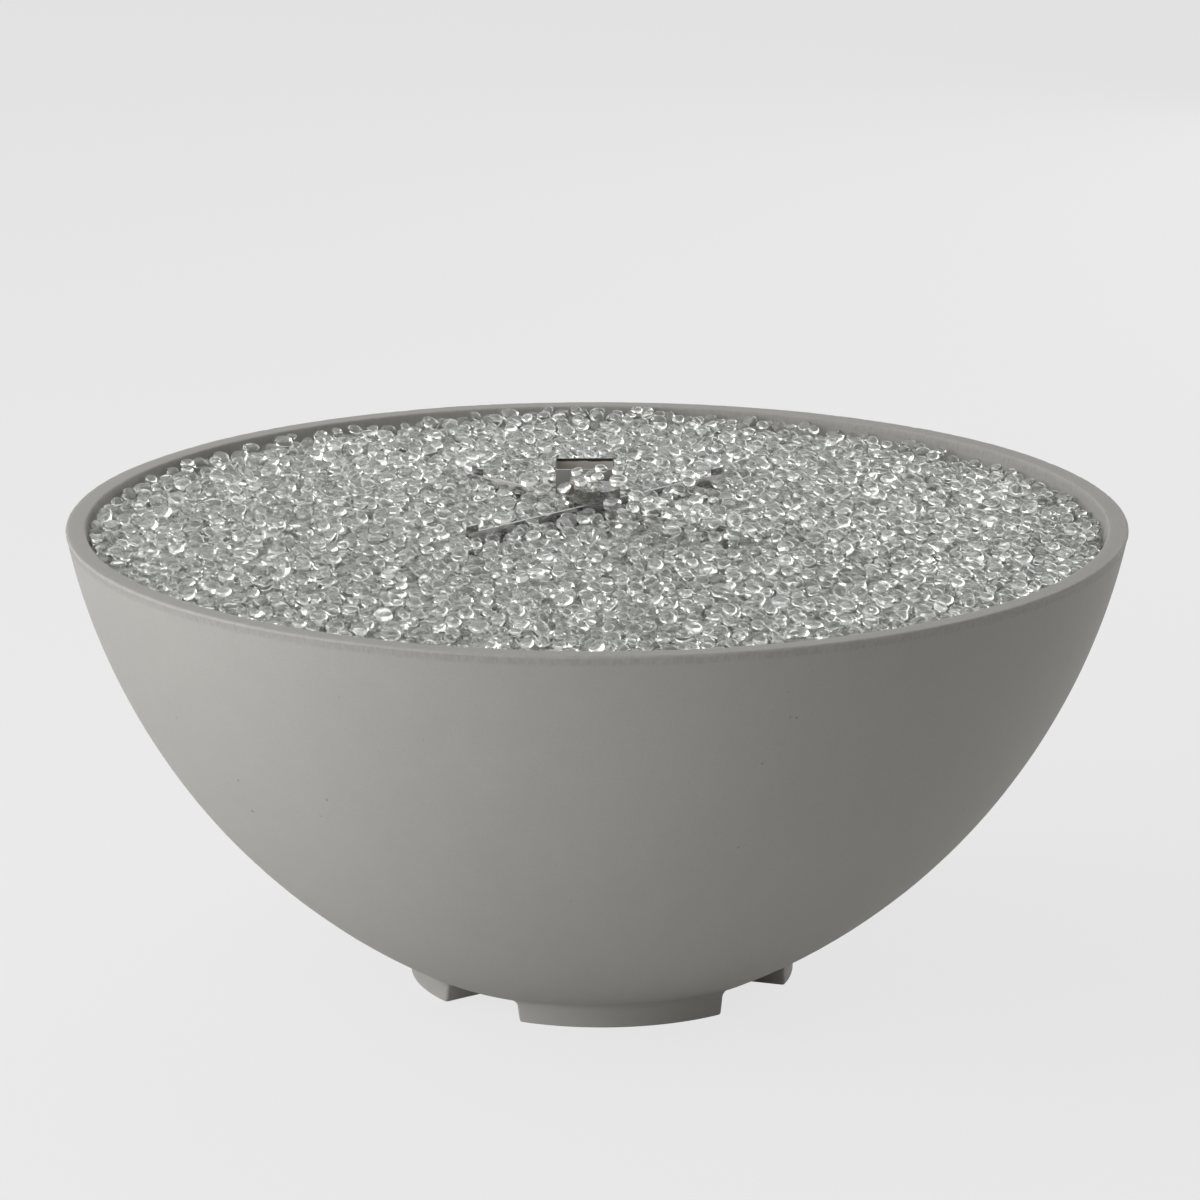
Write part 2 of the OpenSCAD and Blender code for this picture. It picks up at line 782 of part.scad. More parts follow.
module air_mixer() color("#b08d3f") {
    translate(burner_pos) difference() {
        bar(mixer_d, mixer_z, mixer_top_z);
        bar(mixer_bore_d, mixer_z - cut, mixer_top_z);
        bar(riser_d + 2 * seat_gap, riser_z, mixer_top_z + cut);
        for (turn = [0, 90])
            translate([0, 0, mixer_z + air_hole_z]) rotate([90, 0, turn])
                cylinder(d = air_hole_d, h = mixer_d + 2 * cut, center = true);
    }
}

module gas_orifice() color("#c9a24a") {
    translate(burner_pos) difference() {
        union() {
            hex_bar(orifice_af, orifice_z, mixer_z);
            bar(mixer_bore_d - 2 * seat_gap, mixer_z - cut, mixer_z + orifice_thread_l);
        }
        bar(mixer_bore_d / 2, orifice_z - cut, mixer_z + orifice_thread_l / 2);
        bar(jet_d, orifice_z, mixer_z + orifice_thread_l + cut);
    }
}

module gas_hose() color("#c8c9c6") {
    tube(smooth_line(hose_route, 4), hose_d, tube_sides);
}

module pilot_shield() color("#b4aca0") {
    difference() {
        translate(shield_pos) {
            difference() {
                block(shield_w, shield_d, plate_z, shield_top_z);
                block(shield_w - 2 * sheet_t, shield_d - 2 * sheet_t, plate_z - cut, shield_top_z + cut);
                for (x = [-2 * slot_w, 0, 2 * slot_w])
                    translate([x, -shield_d / 2, 0])
                        block(slot_w, 4 * sheet_t, shelf_z + slot_rise, arm_top_z);
            }
            for (side = [-1, 1])
                translate([side * (shield_w + shield_flange) / 2, 0, 0])
                    block(shield_flange, shield_d, plate_z, plate_z + sheet_t);
        }
        at_shield_screws() screw_hole(2 * sheet_t);
    }
}

module shield_screws() color("#8c8c8c") {
    at_shield_screws() screw(sheet_t + plate_t + shield_screw_tail);
}

module pilot_bracket() color("#9a978f") {
    w = shield_w - 2 * sheet_t - 2 * hole_gap;
    d = shield_d - 2 * sheet_t - 2 * hole_gap;
    translate(shield_pos) difference() {
        block(w, d, plate_z, shelf_z + shelf_t);
        block(w - 2 * shelf_t, d + 2 * cut, plate_z - cut, shelf_z);
        translate([-probe_x, 0, 0]) bar(sensor_d + 2 * hole_gap, shelf_z - cut, shelf_z + 2 * shelf_t);
        translate([probe_x, 0, 0]) bar(insulator_d + 2 * hole_gap, shelf_z - cut, shelf_z + 2 * shelf_t);
    }
}

module electrode_insulator() color("#efece2") {
    translate(shield_pos + [probe_x, 0, 0]) difference() {
        union() {
            bar(insulator_d, insulator_z, insulator_z + insulator_l);
            bar(insulator_d + 2 * collar_t, shelf_z + shelf_t, shelf_z + shelf_t + collar_t);
        }
        bar(spark_rod_d + 2 * seat_gap, insulator_z + insulator_l / 2, insulator_z + insulator_l + cut);
    }
}

module spark_rod() color("#6d6a66") {
    translate(shield_pos + [probe_x, 0, 0])
        bar(spark_rod_d, insulator_z + insulator_l / 2, insulator_z + insulator_l + spark_rod_l);
}

module flame_sensor() color("#a97142") {
    translate(shield_pos + [-probe_x, 0, 0]) {
        bar(sensor_d, sensor_z, sensor_z + sensor_l);
        bar(sensor_d + 2 * collar_t, shelf_z + shelf_t, shelf_z + shelf_t + collar_t);
    }
}

module lead_grommet(x, lead_d) {
    outer = lead_d + 2 * grommet_wall;
    translate(shield_pos + [x, 0, 0]) difference() {
        union() {
            bar(outer - 2 * seat_gap, ledge_z, plate_z + cut);
            bar(outer + 2 * grommet_flange, plate_z, plate_z + grommet_flange);
        }
        bar(lead_d + 2 * hole_gap, ledge_z - cut, plate_z + grommet_flange + cut);
    }
}

module lead_grommets() color("#b5482f") {
    lead_grommet(-probe_x, sensor_lead_d);
    lead_grommet(probe_x, spark_lead_d);
}

module sensor_lead() color("#b57b4a") {
    tube(smooth_line(sensor_route, 5), sensor_lead_d, lead_sides);
}

module spark_lead() color("#c9482e") {
    tube(smooth_line(spark_route, 5), spark_lead_d, lead_sides);
}

module control_panel() color("#a9a8a4") {
    at_panel() difference() {
        round_block(panel_w, panel_h, recess_r - panel_gap, seat_z, face_z);
        at_panel_screws() screw_hole(2 * panel_t);
        at_valve_screws() screw_hole(2 * panel_t);
        translate([-valve_x, 0, 0]) bar(stem_d + 4 * hole_gap, seat_z - cut, face_z + cut);
        translate([igniter_x, 0, 0]) bar(igniter_d + 2 * hole_gap, seat_z - cut, face_z + cut);
    }
}

module panel_screws() color("#7f7f7f") {
    at_panel() at_panel_screws() screw(screw_l);
}

module panel_plugs() color("#d9d5c8") {
    at_panel() at_panel_screws() plug(-panel_t);
}

module valve_bonnet() color("#b99546") {
    at_panel() difference() {
        translate([-valve_x, 0, 0]) block(valve_w, valve_h, bonnet_z, seat_z);
        translate([-valve_x, 0, 0]) bar(stem_d + 2 * run_gap, bonnet_z - cut, seat_z + cut);
        at_valve_screws() screw_hole(2 * bonnet_t);
    }
}

module valve_body() color("#c4a050") {
    at_panel() difference() {
        union() {
            translate([-valve_x, 0, 0]) block(valve_w, valve_h, valve_back_z, bonnet_z);
            translate([outlet_x, 0, 0]) bar(boss_d, boss_back_z, valve_back_z + cut);
            translate([sensor_x, 0, 0]) bar(boss_d, boss_back_z, valve_back_z + cut);
            translate([-valve_x, 0, inlet_boss_z]) rotate([-90, 0, 0]) bar(boss_d, 0, pipe_end_y);
        }
        translate([-valve_x, 0, 0]) bar(chamber_d, chamber_z, bonnet_z + cut);
        at_valve_screws() bar(screw_d + 2 * seat_gap, -panel_t - valve_screw_depth, 0);
    }
}

module valve_screws() color("#7f7f7f") {
    at_panel() at_valve_screws() screw(panel_t + valve_screw_depth);
}

module valve_plunger() color("#b9b9b5") {
    at_panel() translate([-valve_x, 0, 0])
        bar(chamber_d - 2 * run_gap, plunger_z, bonnet_z);
}

module stem_spring() color("#8a8a8a") {
    at_panel() translate([-valve_x, 0, 0]) spring(chamber_z, plunger_z);
}

module valve_stem() color("#c9c9c4") {
    at_panel() translate([-valve_x, 0, 0]) bar(stem_d, bonnet_z, stem_top_z);
}

module control_knob() color("#2a2a2b") {
    pointer_w = 2;
    pointer_l = knob_d / 2 - 3 * pointer_w;
    at_panel() translate([-valve_x, 0, 0]) difference() {
        union() {
            bar(knob_d, knob_z, knob_z + knob_skirt);
            intersection() {
                block(grip_w, knob_d, knob_z, grip_top_z);
                bar(knob_d - 2 * grip_inset, knob_z, grip_top_z);
            }
        }
        bar(stem_d + 2 * seat_gap, knob_z - cut, stem_top_z);
        translate([0, -knob_d / 4, 0])
            block(pointer_w, pointer_l, grip_top_z - pointer_w / 2, grip_top_z + cut);
    }
}

module knob_dial() color("#d8d7d2") {
    tick_l = 4;
    tick_w = 1;
    tick_step = 30;
    turn_range = 180;
    at_panel() translate([-valve_x, 0, 0]) difference() {
        bar(dial_d, face_z, face_z + dial_t);
        bar(stem_d + 4 * hole_gap, face_z - cut, face_z + dial_t + cut);
        for (y = [-valve_screw_y, valve_screw_y])
            translate([0, y, 0]) bar(screw_head_d + 2 * hole_gap, face_z - cut, face_z + dial_t + cut);
        for (turn = [0 : tick_step : turn_range])
            rotate([0, 0, turn]) translate([0, -(dial_d + knob_d) / 4, 0])
                block(tick_w, tick_l, face_z + dial_t / 2, face_z + dial_t + cut);
    }
}

module igniter_body() color("#3a3a3c") {
    at_panel() translate([igniter_x, 0, 0]) difference() {
        union() {
            bar(igniter_d, igniter_back_z, igniter_top_z);
            bar(igniter_flange_d, face_z, igniter_top_z);
            bar(terminal_d, terminal_z, igniter_back_z + cut);
        }
        bar(igniter_bore_d, igniter_floor_z, igniter_top_z + cut);
    }
}

module igniter_nut() color("#4a4a4c") {
    at_panel() translate([igniter_x, 0, 0]) difference() {
        hex_bar(igniter_nut_af, seat_z - igniter_nut_t, seat_z);
        bar(igniter_d + 2 * seat_gap, seat_z - 2 * igniter_nut_t, seat_z + cut);
    }
}

module igniter_battery() color("#3f6b52") {
    at_panel() translate([igniter_x, 0, 0]) bar(battery_d, igniter_floor_z, battery_top_z);
}

module button_spring() color("#8a8a8a") {
    at_panel() translate([igniter_x, 0, 0]) spring(battery_top_z, button_z);
}

module igniter_button() color("#1f1f20") {
    crown_h = 2;
    d = igniter_bore_d - 2 * run_gap;
    at_panel() translate([igniter_x, 0, 0]) {
        bar(d, button_z, button_top_z - crown_h);
        translate([0, 0, button_top_z - crown_h]) cylinder(d1 = d, d2 = d - 2 * crown_h, h = crown_h);
    }
}

module inlet_plate() color("#a9a8a4") {
    difference() {
        bar(inlet_plate_d, floor_z, floor_z + inlet_plate_t);
        bar(flare_d + 2 * hole_gap, floor_z - cut, floor_z + inlet_plate_t + cut);
        for (i = [0 : vent_count - 1])
            rotate([0, 0, 360 * i / vent_count])
                translate([vent_ring_d / 2, 0, 0]) bar(vent_d, floor_z - cut, floor_z + inlet_plate_t + cut);
        at_inlet_screws() screw_hole(2 * inlet_plate_t);
    }
}

module inlet_screws() color("#7f7f7f") {
    at_inlet_screws() screw(screw_l);
}

module inlet_plugs() color("#d9d5c8") {
    at_inlet_screws() plug(-inlet_plate_t);
}

module inlet_fitting() color("#c9a24a") {
    bore = flare_d / 2;
    difference() {
        union() {
            bar(flare_d, flare_z, inlet_shank_z);
            hex_bar(inlet_af, floor_z - inlet_nut_t, floor_z);
        }
        bar(bore, flare_z - cut, inlet_shank_z - cut);
    }
}

module inlet_nut() color("#b99546") {
    z = floor_z + inlet_plate_t;
    difference() {
        hex_bar(inlet_af, z, z + inlet_nut_t);
        bar(flare_d + 2 * seat_gap, z - cut, z + inlet_nut_t + cut);
    }
}

module inlet_pipe() color("#b3b2ae") {
    tube(smooth_line(pipe_route, 4), pipe_d, tube_sides);
}

// What stands in the glass, with the gap round it
module glass_room() {
    g = glass_gap;
    top = shield_top_z + g;
    translate(burner_pos) {
        bar(riser_nut_af / cos(30) + 2 * g, plate_z - cut, hub_z);
        block(hub_w + 2 * g, hub_w + 2 * g, hub_z - riser_nut_t - g, top);
        for (i = [0 : 3])
            rotate([0, 0, 45 + 90 * i]) translate([0, -arm_base_w / 2 - g, arm_z - g])
                cube([arm_l + g, arm_base_w + 2 * g, top - arm_z]);
    }
    translate(shield_pos) {
        block(shield_w + 2 * g, shield_d + 2 * g, plate_z - cut, top);
        block(shield_w + 2 * shield_flange + 2 * g, shield_d + 2 * g,
            plate_z - cut, plate_z + sheet_t + screw_head_h + g);
    }
}

module fire_glass() color("#b9c2bd") {
    difference() {
        rotate_extrude() intersection() {
            side_region(wall_t + glass_gap, plate_z, bowl_h + glass_crown + cut);
            polygon(concat(
                [[0, plate_z], [rim_r, plate_z]],
                [for (i = [dome_steps : -1 : 0]) let (r = rim_r * i / dome_steps) [r, glass_top(r)]]
            ));
        }
        glass_room();
    }
}

bowl();
burner_plate();
plate_stiffeners();
burner_hub();
burner_arm(0);  // burner_arm_back_right
burner_arm(1);  // burner_arm_back_left
burner_arm(2);  // burner_arm_front_left
burner_arm(3);  // burner_arm_front_right
arm_end_caps();
burner_riser();
riser_nuts();
air_mixer();
gas_orifice();
gas_hose();
pilot_shield();
shield_screws();
pilot_bracket();
electrode_insulator();
spark_rod();
flame_sensor();
lead_grommets();
sensor_lead();
spark_lead();
control_panel();
panel_screws();
panel_plugs();
valve_bonnet();
valve_body();
valve_screws();
valve_plunger();
stem_spring();
valve_stem();
control_knob();
knob_dial();
igniter_body();
igniter_nut();
igniter_battery();
button_spring();
igniter_button();
inlet_plate();
inlet_screws();
inlet_plugs();
inlet_fitting();
inlet_nut();
inlet_pipe();
fire_glass();
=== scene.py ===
import json
import math

import bmesh
import bpy
import numpy as np
from mathutils import Matrix, Vector, noise


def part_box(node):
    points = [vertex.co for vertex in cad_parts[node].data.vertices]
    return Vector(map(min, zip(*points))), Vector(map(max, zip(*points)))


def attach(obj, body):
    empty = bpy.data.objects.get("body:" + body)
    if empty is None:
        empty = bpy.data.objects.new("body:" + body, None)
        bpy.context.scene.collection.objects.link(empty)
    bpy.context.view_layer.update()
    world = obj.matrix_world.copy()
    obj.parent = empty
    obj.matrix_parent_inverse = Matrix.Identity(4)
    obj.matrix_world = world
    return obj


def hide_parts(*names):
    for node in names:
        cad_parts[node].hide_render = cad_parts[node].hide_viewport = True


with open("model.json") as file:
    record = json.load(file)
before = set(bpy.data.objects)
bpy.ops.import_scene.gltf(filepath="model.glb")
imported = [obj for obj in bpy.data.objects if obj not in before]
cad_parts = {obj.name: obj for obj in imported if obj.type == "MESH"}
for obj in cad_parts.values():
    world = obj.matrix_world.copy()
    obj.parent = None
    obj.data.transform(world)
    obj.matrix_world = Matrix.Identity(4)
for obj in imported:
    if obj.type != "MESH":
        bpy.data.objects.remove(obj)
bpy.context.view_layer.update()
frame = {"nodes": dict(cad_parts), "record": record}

BODY = "fire_pit"
scene = bpy.context.scene
scene.view_settings.view_transform = "Standard"
rng = np.random.default_rng(11)

# Sizes in metres, the same as the CAD model's
RIM_R, BOWL_H, SIDE_R = 0.5335, 0.475, 0.654
WALL_T, LOWER_WALL_T, FLOOR_T = 0.020, 0.034, 0.030
HOLE_R, LEDGE_Z = 0.055, 0.417
BASE_R, FOOT_H, FOOT_T = 0.190, 0.020, 0.048
FOOT_SPAN, FOOT_TURN = math.radians(62), math.radians(7.8)
# How far the cast feet stand out past the CAD model's: at their outer sides, at each end, and to the right
FOOT_R = BASE_R + 0.006
FOOT_LONGER, FOOT_SHIFT = 0.004, 0.005
# Small extra turns of the cast feet, in degrees: front, right, back, left
FOOT_SLIPS = (-1.5, 4.5, 0.0, -2.5)
FLOOR_Z = FOOT_H + FLOOR_T
PANEL_TILT = math.radians(35)
RECESS_W, RECESS_H, RECESS_R, RECESS_DEPTH = 0.152, 0.086, 0.010, 0.011
WINDOW_W, WINDOW_H = 0.122, 0.054
PANEL_SCREW = (0.067, 0.034)
PLUG_R, PLUG_DEPTH = 0.00303, 0.018
INLET_RING_R, INLET_TOP = 0.070, 0.053
PANEL_T = 0.002
HUB_Y, HUB_HALF, HUB_TOP = 0.040, 0.0235, 0.4975
ARM_L, ARM_HALF, ARM_TOP, ARM_TOP_HALF = 0.182, 0.0042, 0.4805, 0.0015
SHIELD_X, SHIELD_Y, SHIELD_TOP = -0.0125, 0.131, 0.4995
SHIELD_HALF_X, SHIELD_HALF_Y = 0.030, 0.025
VALVE_X = 0.032

# Beads: three radii and how common each is, and how flat they lie
BEAD_RADII = np.array([0.0071, 0.0085, 0.0100])
BEAD_SHARES = np.array([0.34, 0.40, 0.26])
BEAD_FLAT = 0.62
# Depth of the layer of single beads, and the depth to which they are finely modelled
BEAD_LAYER, FINE_DEPTH = 0.027, 0.013
MOST_BEADS, BEAD_PIECES = 12000, 12
# How far a bead's top may pass the bed's level, and how much higher the beads on the hub may lie
MOST_OVER, HUB_EXTRA = 0.0015, 0.004
# Grid on which they are dropped, and how uneven they leave the bed
GRID_REACH, GRID_STEP, UNEVEN = 0.507, 0.003, 0.0022
# The bed: its radius, its level at the edge and on the wall, its middle's rise, its slope to the right
BED_R, BED_EDGE_Z, BED_WALL_Z, BED_RISE, BED_SLOPE = 0.511, 0.4655, 0.466, 0.0135, 0.005
# Depth of the beads on the hub, along the back right arm, over an arm and over an arm's tip
HUB_LAYER, RIDGE, ARM_HEAP, TIP_HEAP = 0.0125, 0.0026, 0.0135, 0.0190


def arc_centre(a, b, r):
    """Centre of the circle of radius r through a and b, as [distance from the axis, height]."""
    a, b = np.array(a), np.array(b)
    chord = b - a
    length = np.linalg.norm(chord)
    rise = math.sqrt(r * r - length * length / 4)
    return (a + b) / 2 + rise * np.array([chord[1], -chord[0]]) / length


SIDE_C = arc_centre((RIM_R, BOWL_H), (BASE_R, FOOT_H), SIDE_R)


def side_x(z, inset):
    """Distance of the bowl's side from the axis at a height, at a depth under its outer face."""
    return SIDE_C[0] + np.sqrt((SIDE_R - inset) ** 2 - (z - SIDE_C[1]) ** 2)


PANEL_C = SIDE_C + SIDE_R * np.array([math.cos(PANEL_TILT), -math.sin(PANEL_TILT)])
PANEL_AT = (0, PANEL_C[0], PANEL_C[1])
AT_PANEL = Matrix.Translation(PANEL_AT) @ Matrix.Rotation(-math.pi / 2 - PANEL_TILT, 4, "X")
PANEL_OUT = Vector((0, math.cos(PANEL_TILT), -math.sin(PANEL_TILT)))


class Nodes:
    """A material's node tree, with short ways to add nodes and join them."""

    def __init__(self, name):
        self.material = bpy.data.materials.new(name)
        self.material.use_nodes = True
        self.tree = self.material.node_tree
        self.shader = self.tree.nodes["Principled BSDF"]
        self.place = self.add("ShaderNodeTexCoord").outputs["Object"]

    def add(self, kind, inputs=None, **settings):
        node = self.tree.nodes.new(kind)
        for key, value in settings.items():
            setattr(node, key, value)
        for key, value in (inputs or {}).items():
            self.put(node.inputs[key], value)
        return node

    def put(self, socket, value):
        if isinstance(value, bpy.types.NodeSocket):
            self.tree.links.new(value, socket)
        else:
            socket.default_value = value

    def set(self, **values):
        for key, value in values.items():
            self.put(self.shader.inputs[key.replace("_", " ")], value)

    def stretched(self, scale):
        inputs = {"Vector": self.place, "Scale": scale}
        return self.add("ShaderNodeMapping", inputs).outputs[0]

    def noise(self, scale, detail=3.0, rough=0.5, at=None):
        inputs = {"Vector": at or self.place, "Scale": scale, "Detail": detail, "Roughness": rough}
        return self.add("ShaderNodeTexNoise", inputs).outputs["Fac"]

    def cells(self, scale, feature="F1"):
        inputs = {"Vector": self.place, "Scale": scale}
        return self.add("ShaderNodeTexVoronoi", inputs, feature=feature).outputs["Distance"]

    def ramp(self, value, low, high, to_low=0.0, to_high=1.0):
        inputs = {"Value": value, "From Min": low, "From Max": high, "To Min": to_low, "To Max": to_high}
        return self.add("ShaderNodeMapRange", inputs).outputs[0]

    def maths(self, operation, a, b=0.0):
        return self.add("ShaderNodeMath", {0: a, 1: b}, operation=operation).outputs[0]

    def mix(self, factor, a, b):
        return self.add("ShaderNodeMix", {0: factor, 6: a, 7: b}, data_type="RGBA").outputs[2]

    def bump(self, height, strength, distance):
        node = self.add("ShaderNodeBump", {"Height": height, "Strength": strength, "Distance": distance})
        self.put(self.shader.inputs["Normal"], node.outputs[0])

    def axis(self, name, at=None):
        return self.add("ShaderNodeSeparateXYZ", {0: at or self.place}).outputs[name]

    def along(self, direction, start):
        """Distance along a direction from a starting point."""
        kind = "ShaderNodeVectorMath"
        away = self.add(kind, {0: self.place, 1: tuple(start)}, operation="SUBTRACT").outputs[0]
        return self.add(kind, {0: away, 1: tuple(direction)}, operation="DOT_PRODUCT").outputs[1]


WARM = 0.026


def grey(level, warm=0.0):
    """A grey of one brightness, made warmer by a small share."""
    return (level * (1 + warm), level, level * (1 - 2.2 * warm), 1)


def concrete():
    """Smooth cast concrete with a few pits, painted dark inside as painted shade, and a faintly trowelled
    band under the rim.
    """
    n = Nodes("cast_concrete")
    height = n.axis("Z")
    cloud = n.noise(4.5, 3, 0.5)
    blotch = n.noise(34, 5, 0.62)
    grain = n.noise(520, 3, 0.65)
    hatch = n.noise(330, 3, 0.6, n.stretched((1, 1, 0.22)))
    hole = n.cells(75)
    hole_size = n.ramp(n.noise(21, 2), 0.58, 0.76, 0.0, 0.15)
    pit = n.ramp(n.maths("SUBTRACT", hole, hole_size), -0.03, 0.02, 1.0, 0.0)
    colour = n.mix(n.ramp(cloud, 0.32, 0.68), grey(0.382, WARM), grey(0.402, WARM))
    colour = n.mix(n.ramp(blotch, 0.36, 0.66, 0.0, 0.4), colour, grey(0.422, WARM))
    colour = n.mix(n.ramp(grain, 0.30, 0.50, 0.22, 0.0), colour, grey(0.27, WARM))
    below = n.ramp(height, BOWL_H - 0.011, BOWL_H - 0.008)
    above = n.ramp(height, BOWL_H - 0.003, BOWL_H - 0.001, 1.0, 0.0)
    band = n.maths("MULTIPLY", below, above)
    colour = n.mix(n.maths("MULTIPLY", band, n.ramp(hatch, 0.36, 0.60, 0.40, 0.08)), colour, grey(0.25, WARM))
    worn = n.add("ShaderNodeAttribute", attribute_name="edge_wear").outputs["Fac"]
    worn = n.maths("MULTIPLY", worn, n.ramp(n.noise(130, 3, 0.6), 0.42, 0.62, 0.1, 0.55))
    colour = n.mix(worn, colour, grey(0.455, WARM))
    # Painted shade inside the pits
    colour = n.mix(n.maths("MULTIPLY", pit, 0.6), colour, grey(0.16, WARM))
    n.set(Base_Color=colour, Roughness=n.ramp(blotch, 0.3, 0.7, 0.74, 0.86), Specular_IOR_Level=0.30)
    relief = n.maths("ADD", n.maths("MULTIPLY", grain, 0.30), n.maths("MULTIPLY", blotch, 0.35))
    relief = n.maths("ADD", relief, n.maths("MULTIPLY", n.maths("MULTIPLY", band, hatch), 0.8))
    relief = n.maths("SUBTRACT", relief, n.maths("MULTIPLY", pit, 1.2))
    n.bump(relief, 0.30, 0.0006)
    return n.material


def metal(name, dark, light, rough, brush=(1, 1, 1), stain=None, stain_share=0.0):
    """Brushed or cast metal. The brush scale is small along the strokes."""
    n = Nodes(name)
    strokes = n.noise(90, 4, 0.6, n.stretched(brush))
    cloud = n.noise(28, 3, 0.55)
    colour = n.mix(n.ramp(strokes, 0.32, 0.68), dark, light)
    if stain:
        colour = n.mix(n.ramp(cloud, 0.42, 0.70, 0.0, stain_share), colour, stain)
    spread = n.maths("ADD", n.maths("MULTIPLY", strokes, 0.16), n.maths("MULTIPLY", cloud, 0.10))
    n.set(Base_Color=colour, Metallic=1.0, Roughness=n.maths("ADD", spread, rough - 0.13))
    n.bump(strokes, 0.06, 0.0004)
    return n.material


def heated_steel():
    """Sheet steel that flames have darkened, with a painted highlight on its faces that look up."""
    n = Nodes("heated_steel")
    strokes = n.noise(130, 4, 0.6, n.stretched((1, 1, 5)))
    cloud = n.noise(26, 4, 0.6)
    facing = n.axis("Z", n.add("ShaderNodeNewGeometry").outputs["Normal"])
    colour = n.mix(n.ramp(strokes, 0.30, 0.70), grey(0.19, 0.01), grey(0.29, 0.01))
    colour = n.mix(n.ramp(cloud, 0.48, 0.72, 0.0, 0.4), colour, (0.15, 0.12, 0.09, 1))
    colour = n.mix(n.ramp(cloud, 0.20, 0.40, 0.4, 0.0), colour, (0.12, 0.13, 0.15, 1))
    # Painted highlight on the faces that look up; on the hub's top it is painted only along its front edge
    on_top = n.ramp(n.axis("Z"), HUB_TOP - 0.0012, HUB_TOP - 0.0008)
    inward = n.ramp(n.axis("Y"), HUB_Y - HUB_HALF + 0.0012, HUB_Y - HUB_HALF + 0.0018)
    edge = n.maths("SUBTRACT", 1.0, n.maths("MULTIPLY", on_top, inward))
    edge = n.maths("MULTIPLY", edge, n.ramp(facing, 0.6, 0.8, 0.0, 0.9))
    # Painted highlight: the faces that look up take a pale grey
    colour = n.mix(edge, colour, grey(0.66, 0.005))
    n.set(Base_Color=colour, Metallic=1.0, Roughness=n.ramp(strokes, 0.3, 0.7, 0.18, 0.32))
    n.bump(n.maths("ADD", strokes, n.maths("MULTIPLY", cloud, 2.0)), 0.08, 0.0006)
    return n.material


def shield_steel():
    """Brushed steel, darkened in a band along its upper edge, with a front wall painted darker as painted
    shade and a painted highlight along its tip.
    """
    n = Nodes("shield_steel")
    strokes = n.noise(110, 4, 0.6, n.stretched((1, 1, 14)))
    cloud = n.noise(40, 3, 0.55)
    colour = n.mix(n.ramp(strokes, 0.30, 0.70), grey(0.56, 0.03), grey(0.67, 0.03))
    colour = n.mix(n.ramp(cloud, 0.42, 0.7, 0.0, 0.35), colour, (0.46, 0.40, 0.34, 1))
    # A dark, less metallic band along the top edge, behind the front wall
    ragged = n.maths("ADD", n.axis("Z"), n.ramp(n.noise(70, 3, 0.6), 0.3, 0.7, -0.0006, 0.0006))
    dark_top_band = n.ramp(ragged, SHIELD_TOP - 0.0034, SHIELD_TOP - 0.0026)
    # Painted shade on the front wall's face, with a painted highlight along its very tip
    tip = n.ramp(n.axis("Z"), SHIELD_TOP - 0.0003, SHIELD_TOP - 0.0001, 1.0, 0.0)
    front_y = SHIELD_Y - SHIELD_HALF_Y
    behind = n.ramp(n.axis("Y"), front_y + 0.002, front_y + 0.003)
    dark_top_band = n.maths("MULTIPLY", dark_top_band, behind)
    # The front wall takes the painted shade, and its tip the painted highlight
    colour = n.mix(behind, n.mix(tip, grey(0.70, 0.01), grey(0.31, 0.02)), colour)
    colour = n.mix(dark_top_band, colour, (0.035, 0.031, 0.028, 1))
    n.set(Base_Color=colour, Metallic=n.ramp(dark_top_band, 0.0, 1.0, 0.55, 0.2))
    n.set(Roughness=n.ramp(strokes, 0.3, 0.7, 0.40, 0.55))
    n.bump(strokes, 0.05, 0.0004)
    return n.material


def glass(name, tint):
    """Clear glass with a faint tint."""
    n = Nodes(name)
    n.set(Base_Color=tint, Roughness=0.03, IOR=1.5, Transmission_Weight=0.90, Specular_IOR_Level=0.8)
    return n.material


def deep_glass():
    """Beads seen dimly through the beads above them, painted on one sheet with painted light on their middles
    and painted shade in the gaps between.
    """
    n = Nodes("deep_glass")
    near = n.cells(62)
    gaps = n.cells(62, feature="DISTANCE_TO_EDGE")
    tone = n.noise(55, 3, 0.55)
    colour = n.mix(n.ramp(tone, 0.3, 0.7), (0.42, 0.45, 0.42, 1), (0.62, 0.65, 0.62, 1))
    # Painted light on the middles of the cells
    colour = n.mix(n.ramp(near, 0.0, 0.35, 0.5, 0.0), colour, (0.80, 0.83, 0.81, 1))
    # Painted shade in the gaps between the cells
    colour = n.mix(n.ramp(gaps, 0.0, 0.12, 0.65, 0.0), colour, (0.20, 0.22, 0.20, 1))
    n.set(Base_Color=colour, Roughness=n.ramp(tone, 0.3, 0.7, 0.25, 0.45))
    n.bump(gaps, 0.5, 0.003)
    return n.material


def plastic(name, dark, light, rough, grain):
    """Moulded plastic, rubber or ceramic with a fine grain."""
    n = Nodes(name)
    fine = n.noise(grain, 2, 0.6)
    cloud = n.noise(60, 3, 0.5)
    colour = n.mix(n.ramp(cloud, 0.3, 0.7), dark, light)
    n.set(Base_Color=colour, Roughness=n.ramp(fine, 0.3, 0.7, rough - 0.06, rough + 0.08))
    n.bump(fine, 0.12, 0.0002)
    return n.material


BLACK, SOFT_BLACK = (0.016, 0.016, 0.017, 1), (0.030, 0.030, 0.032, 1)


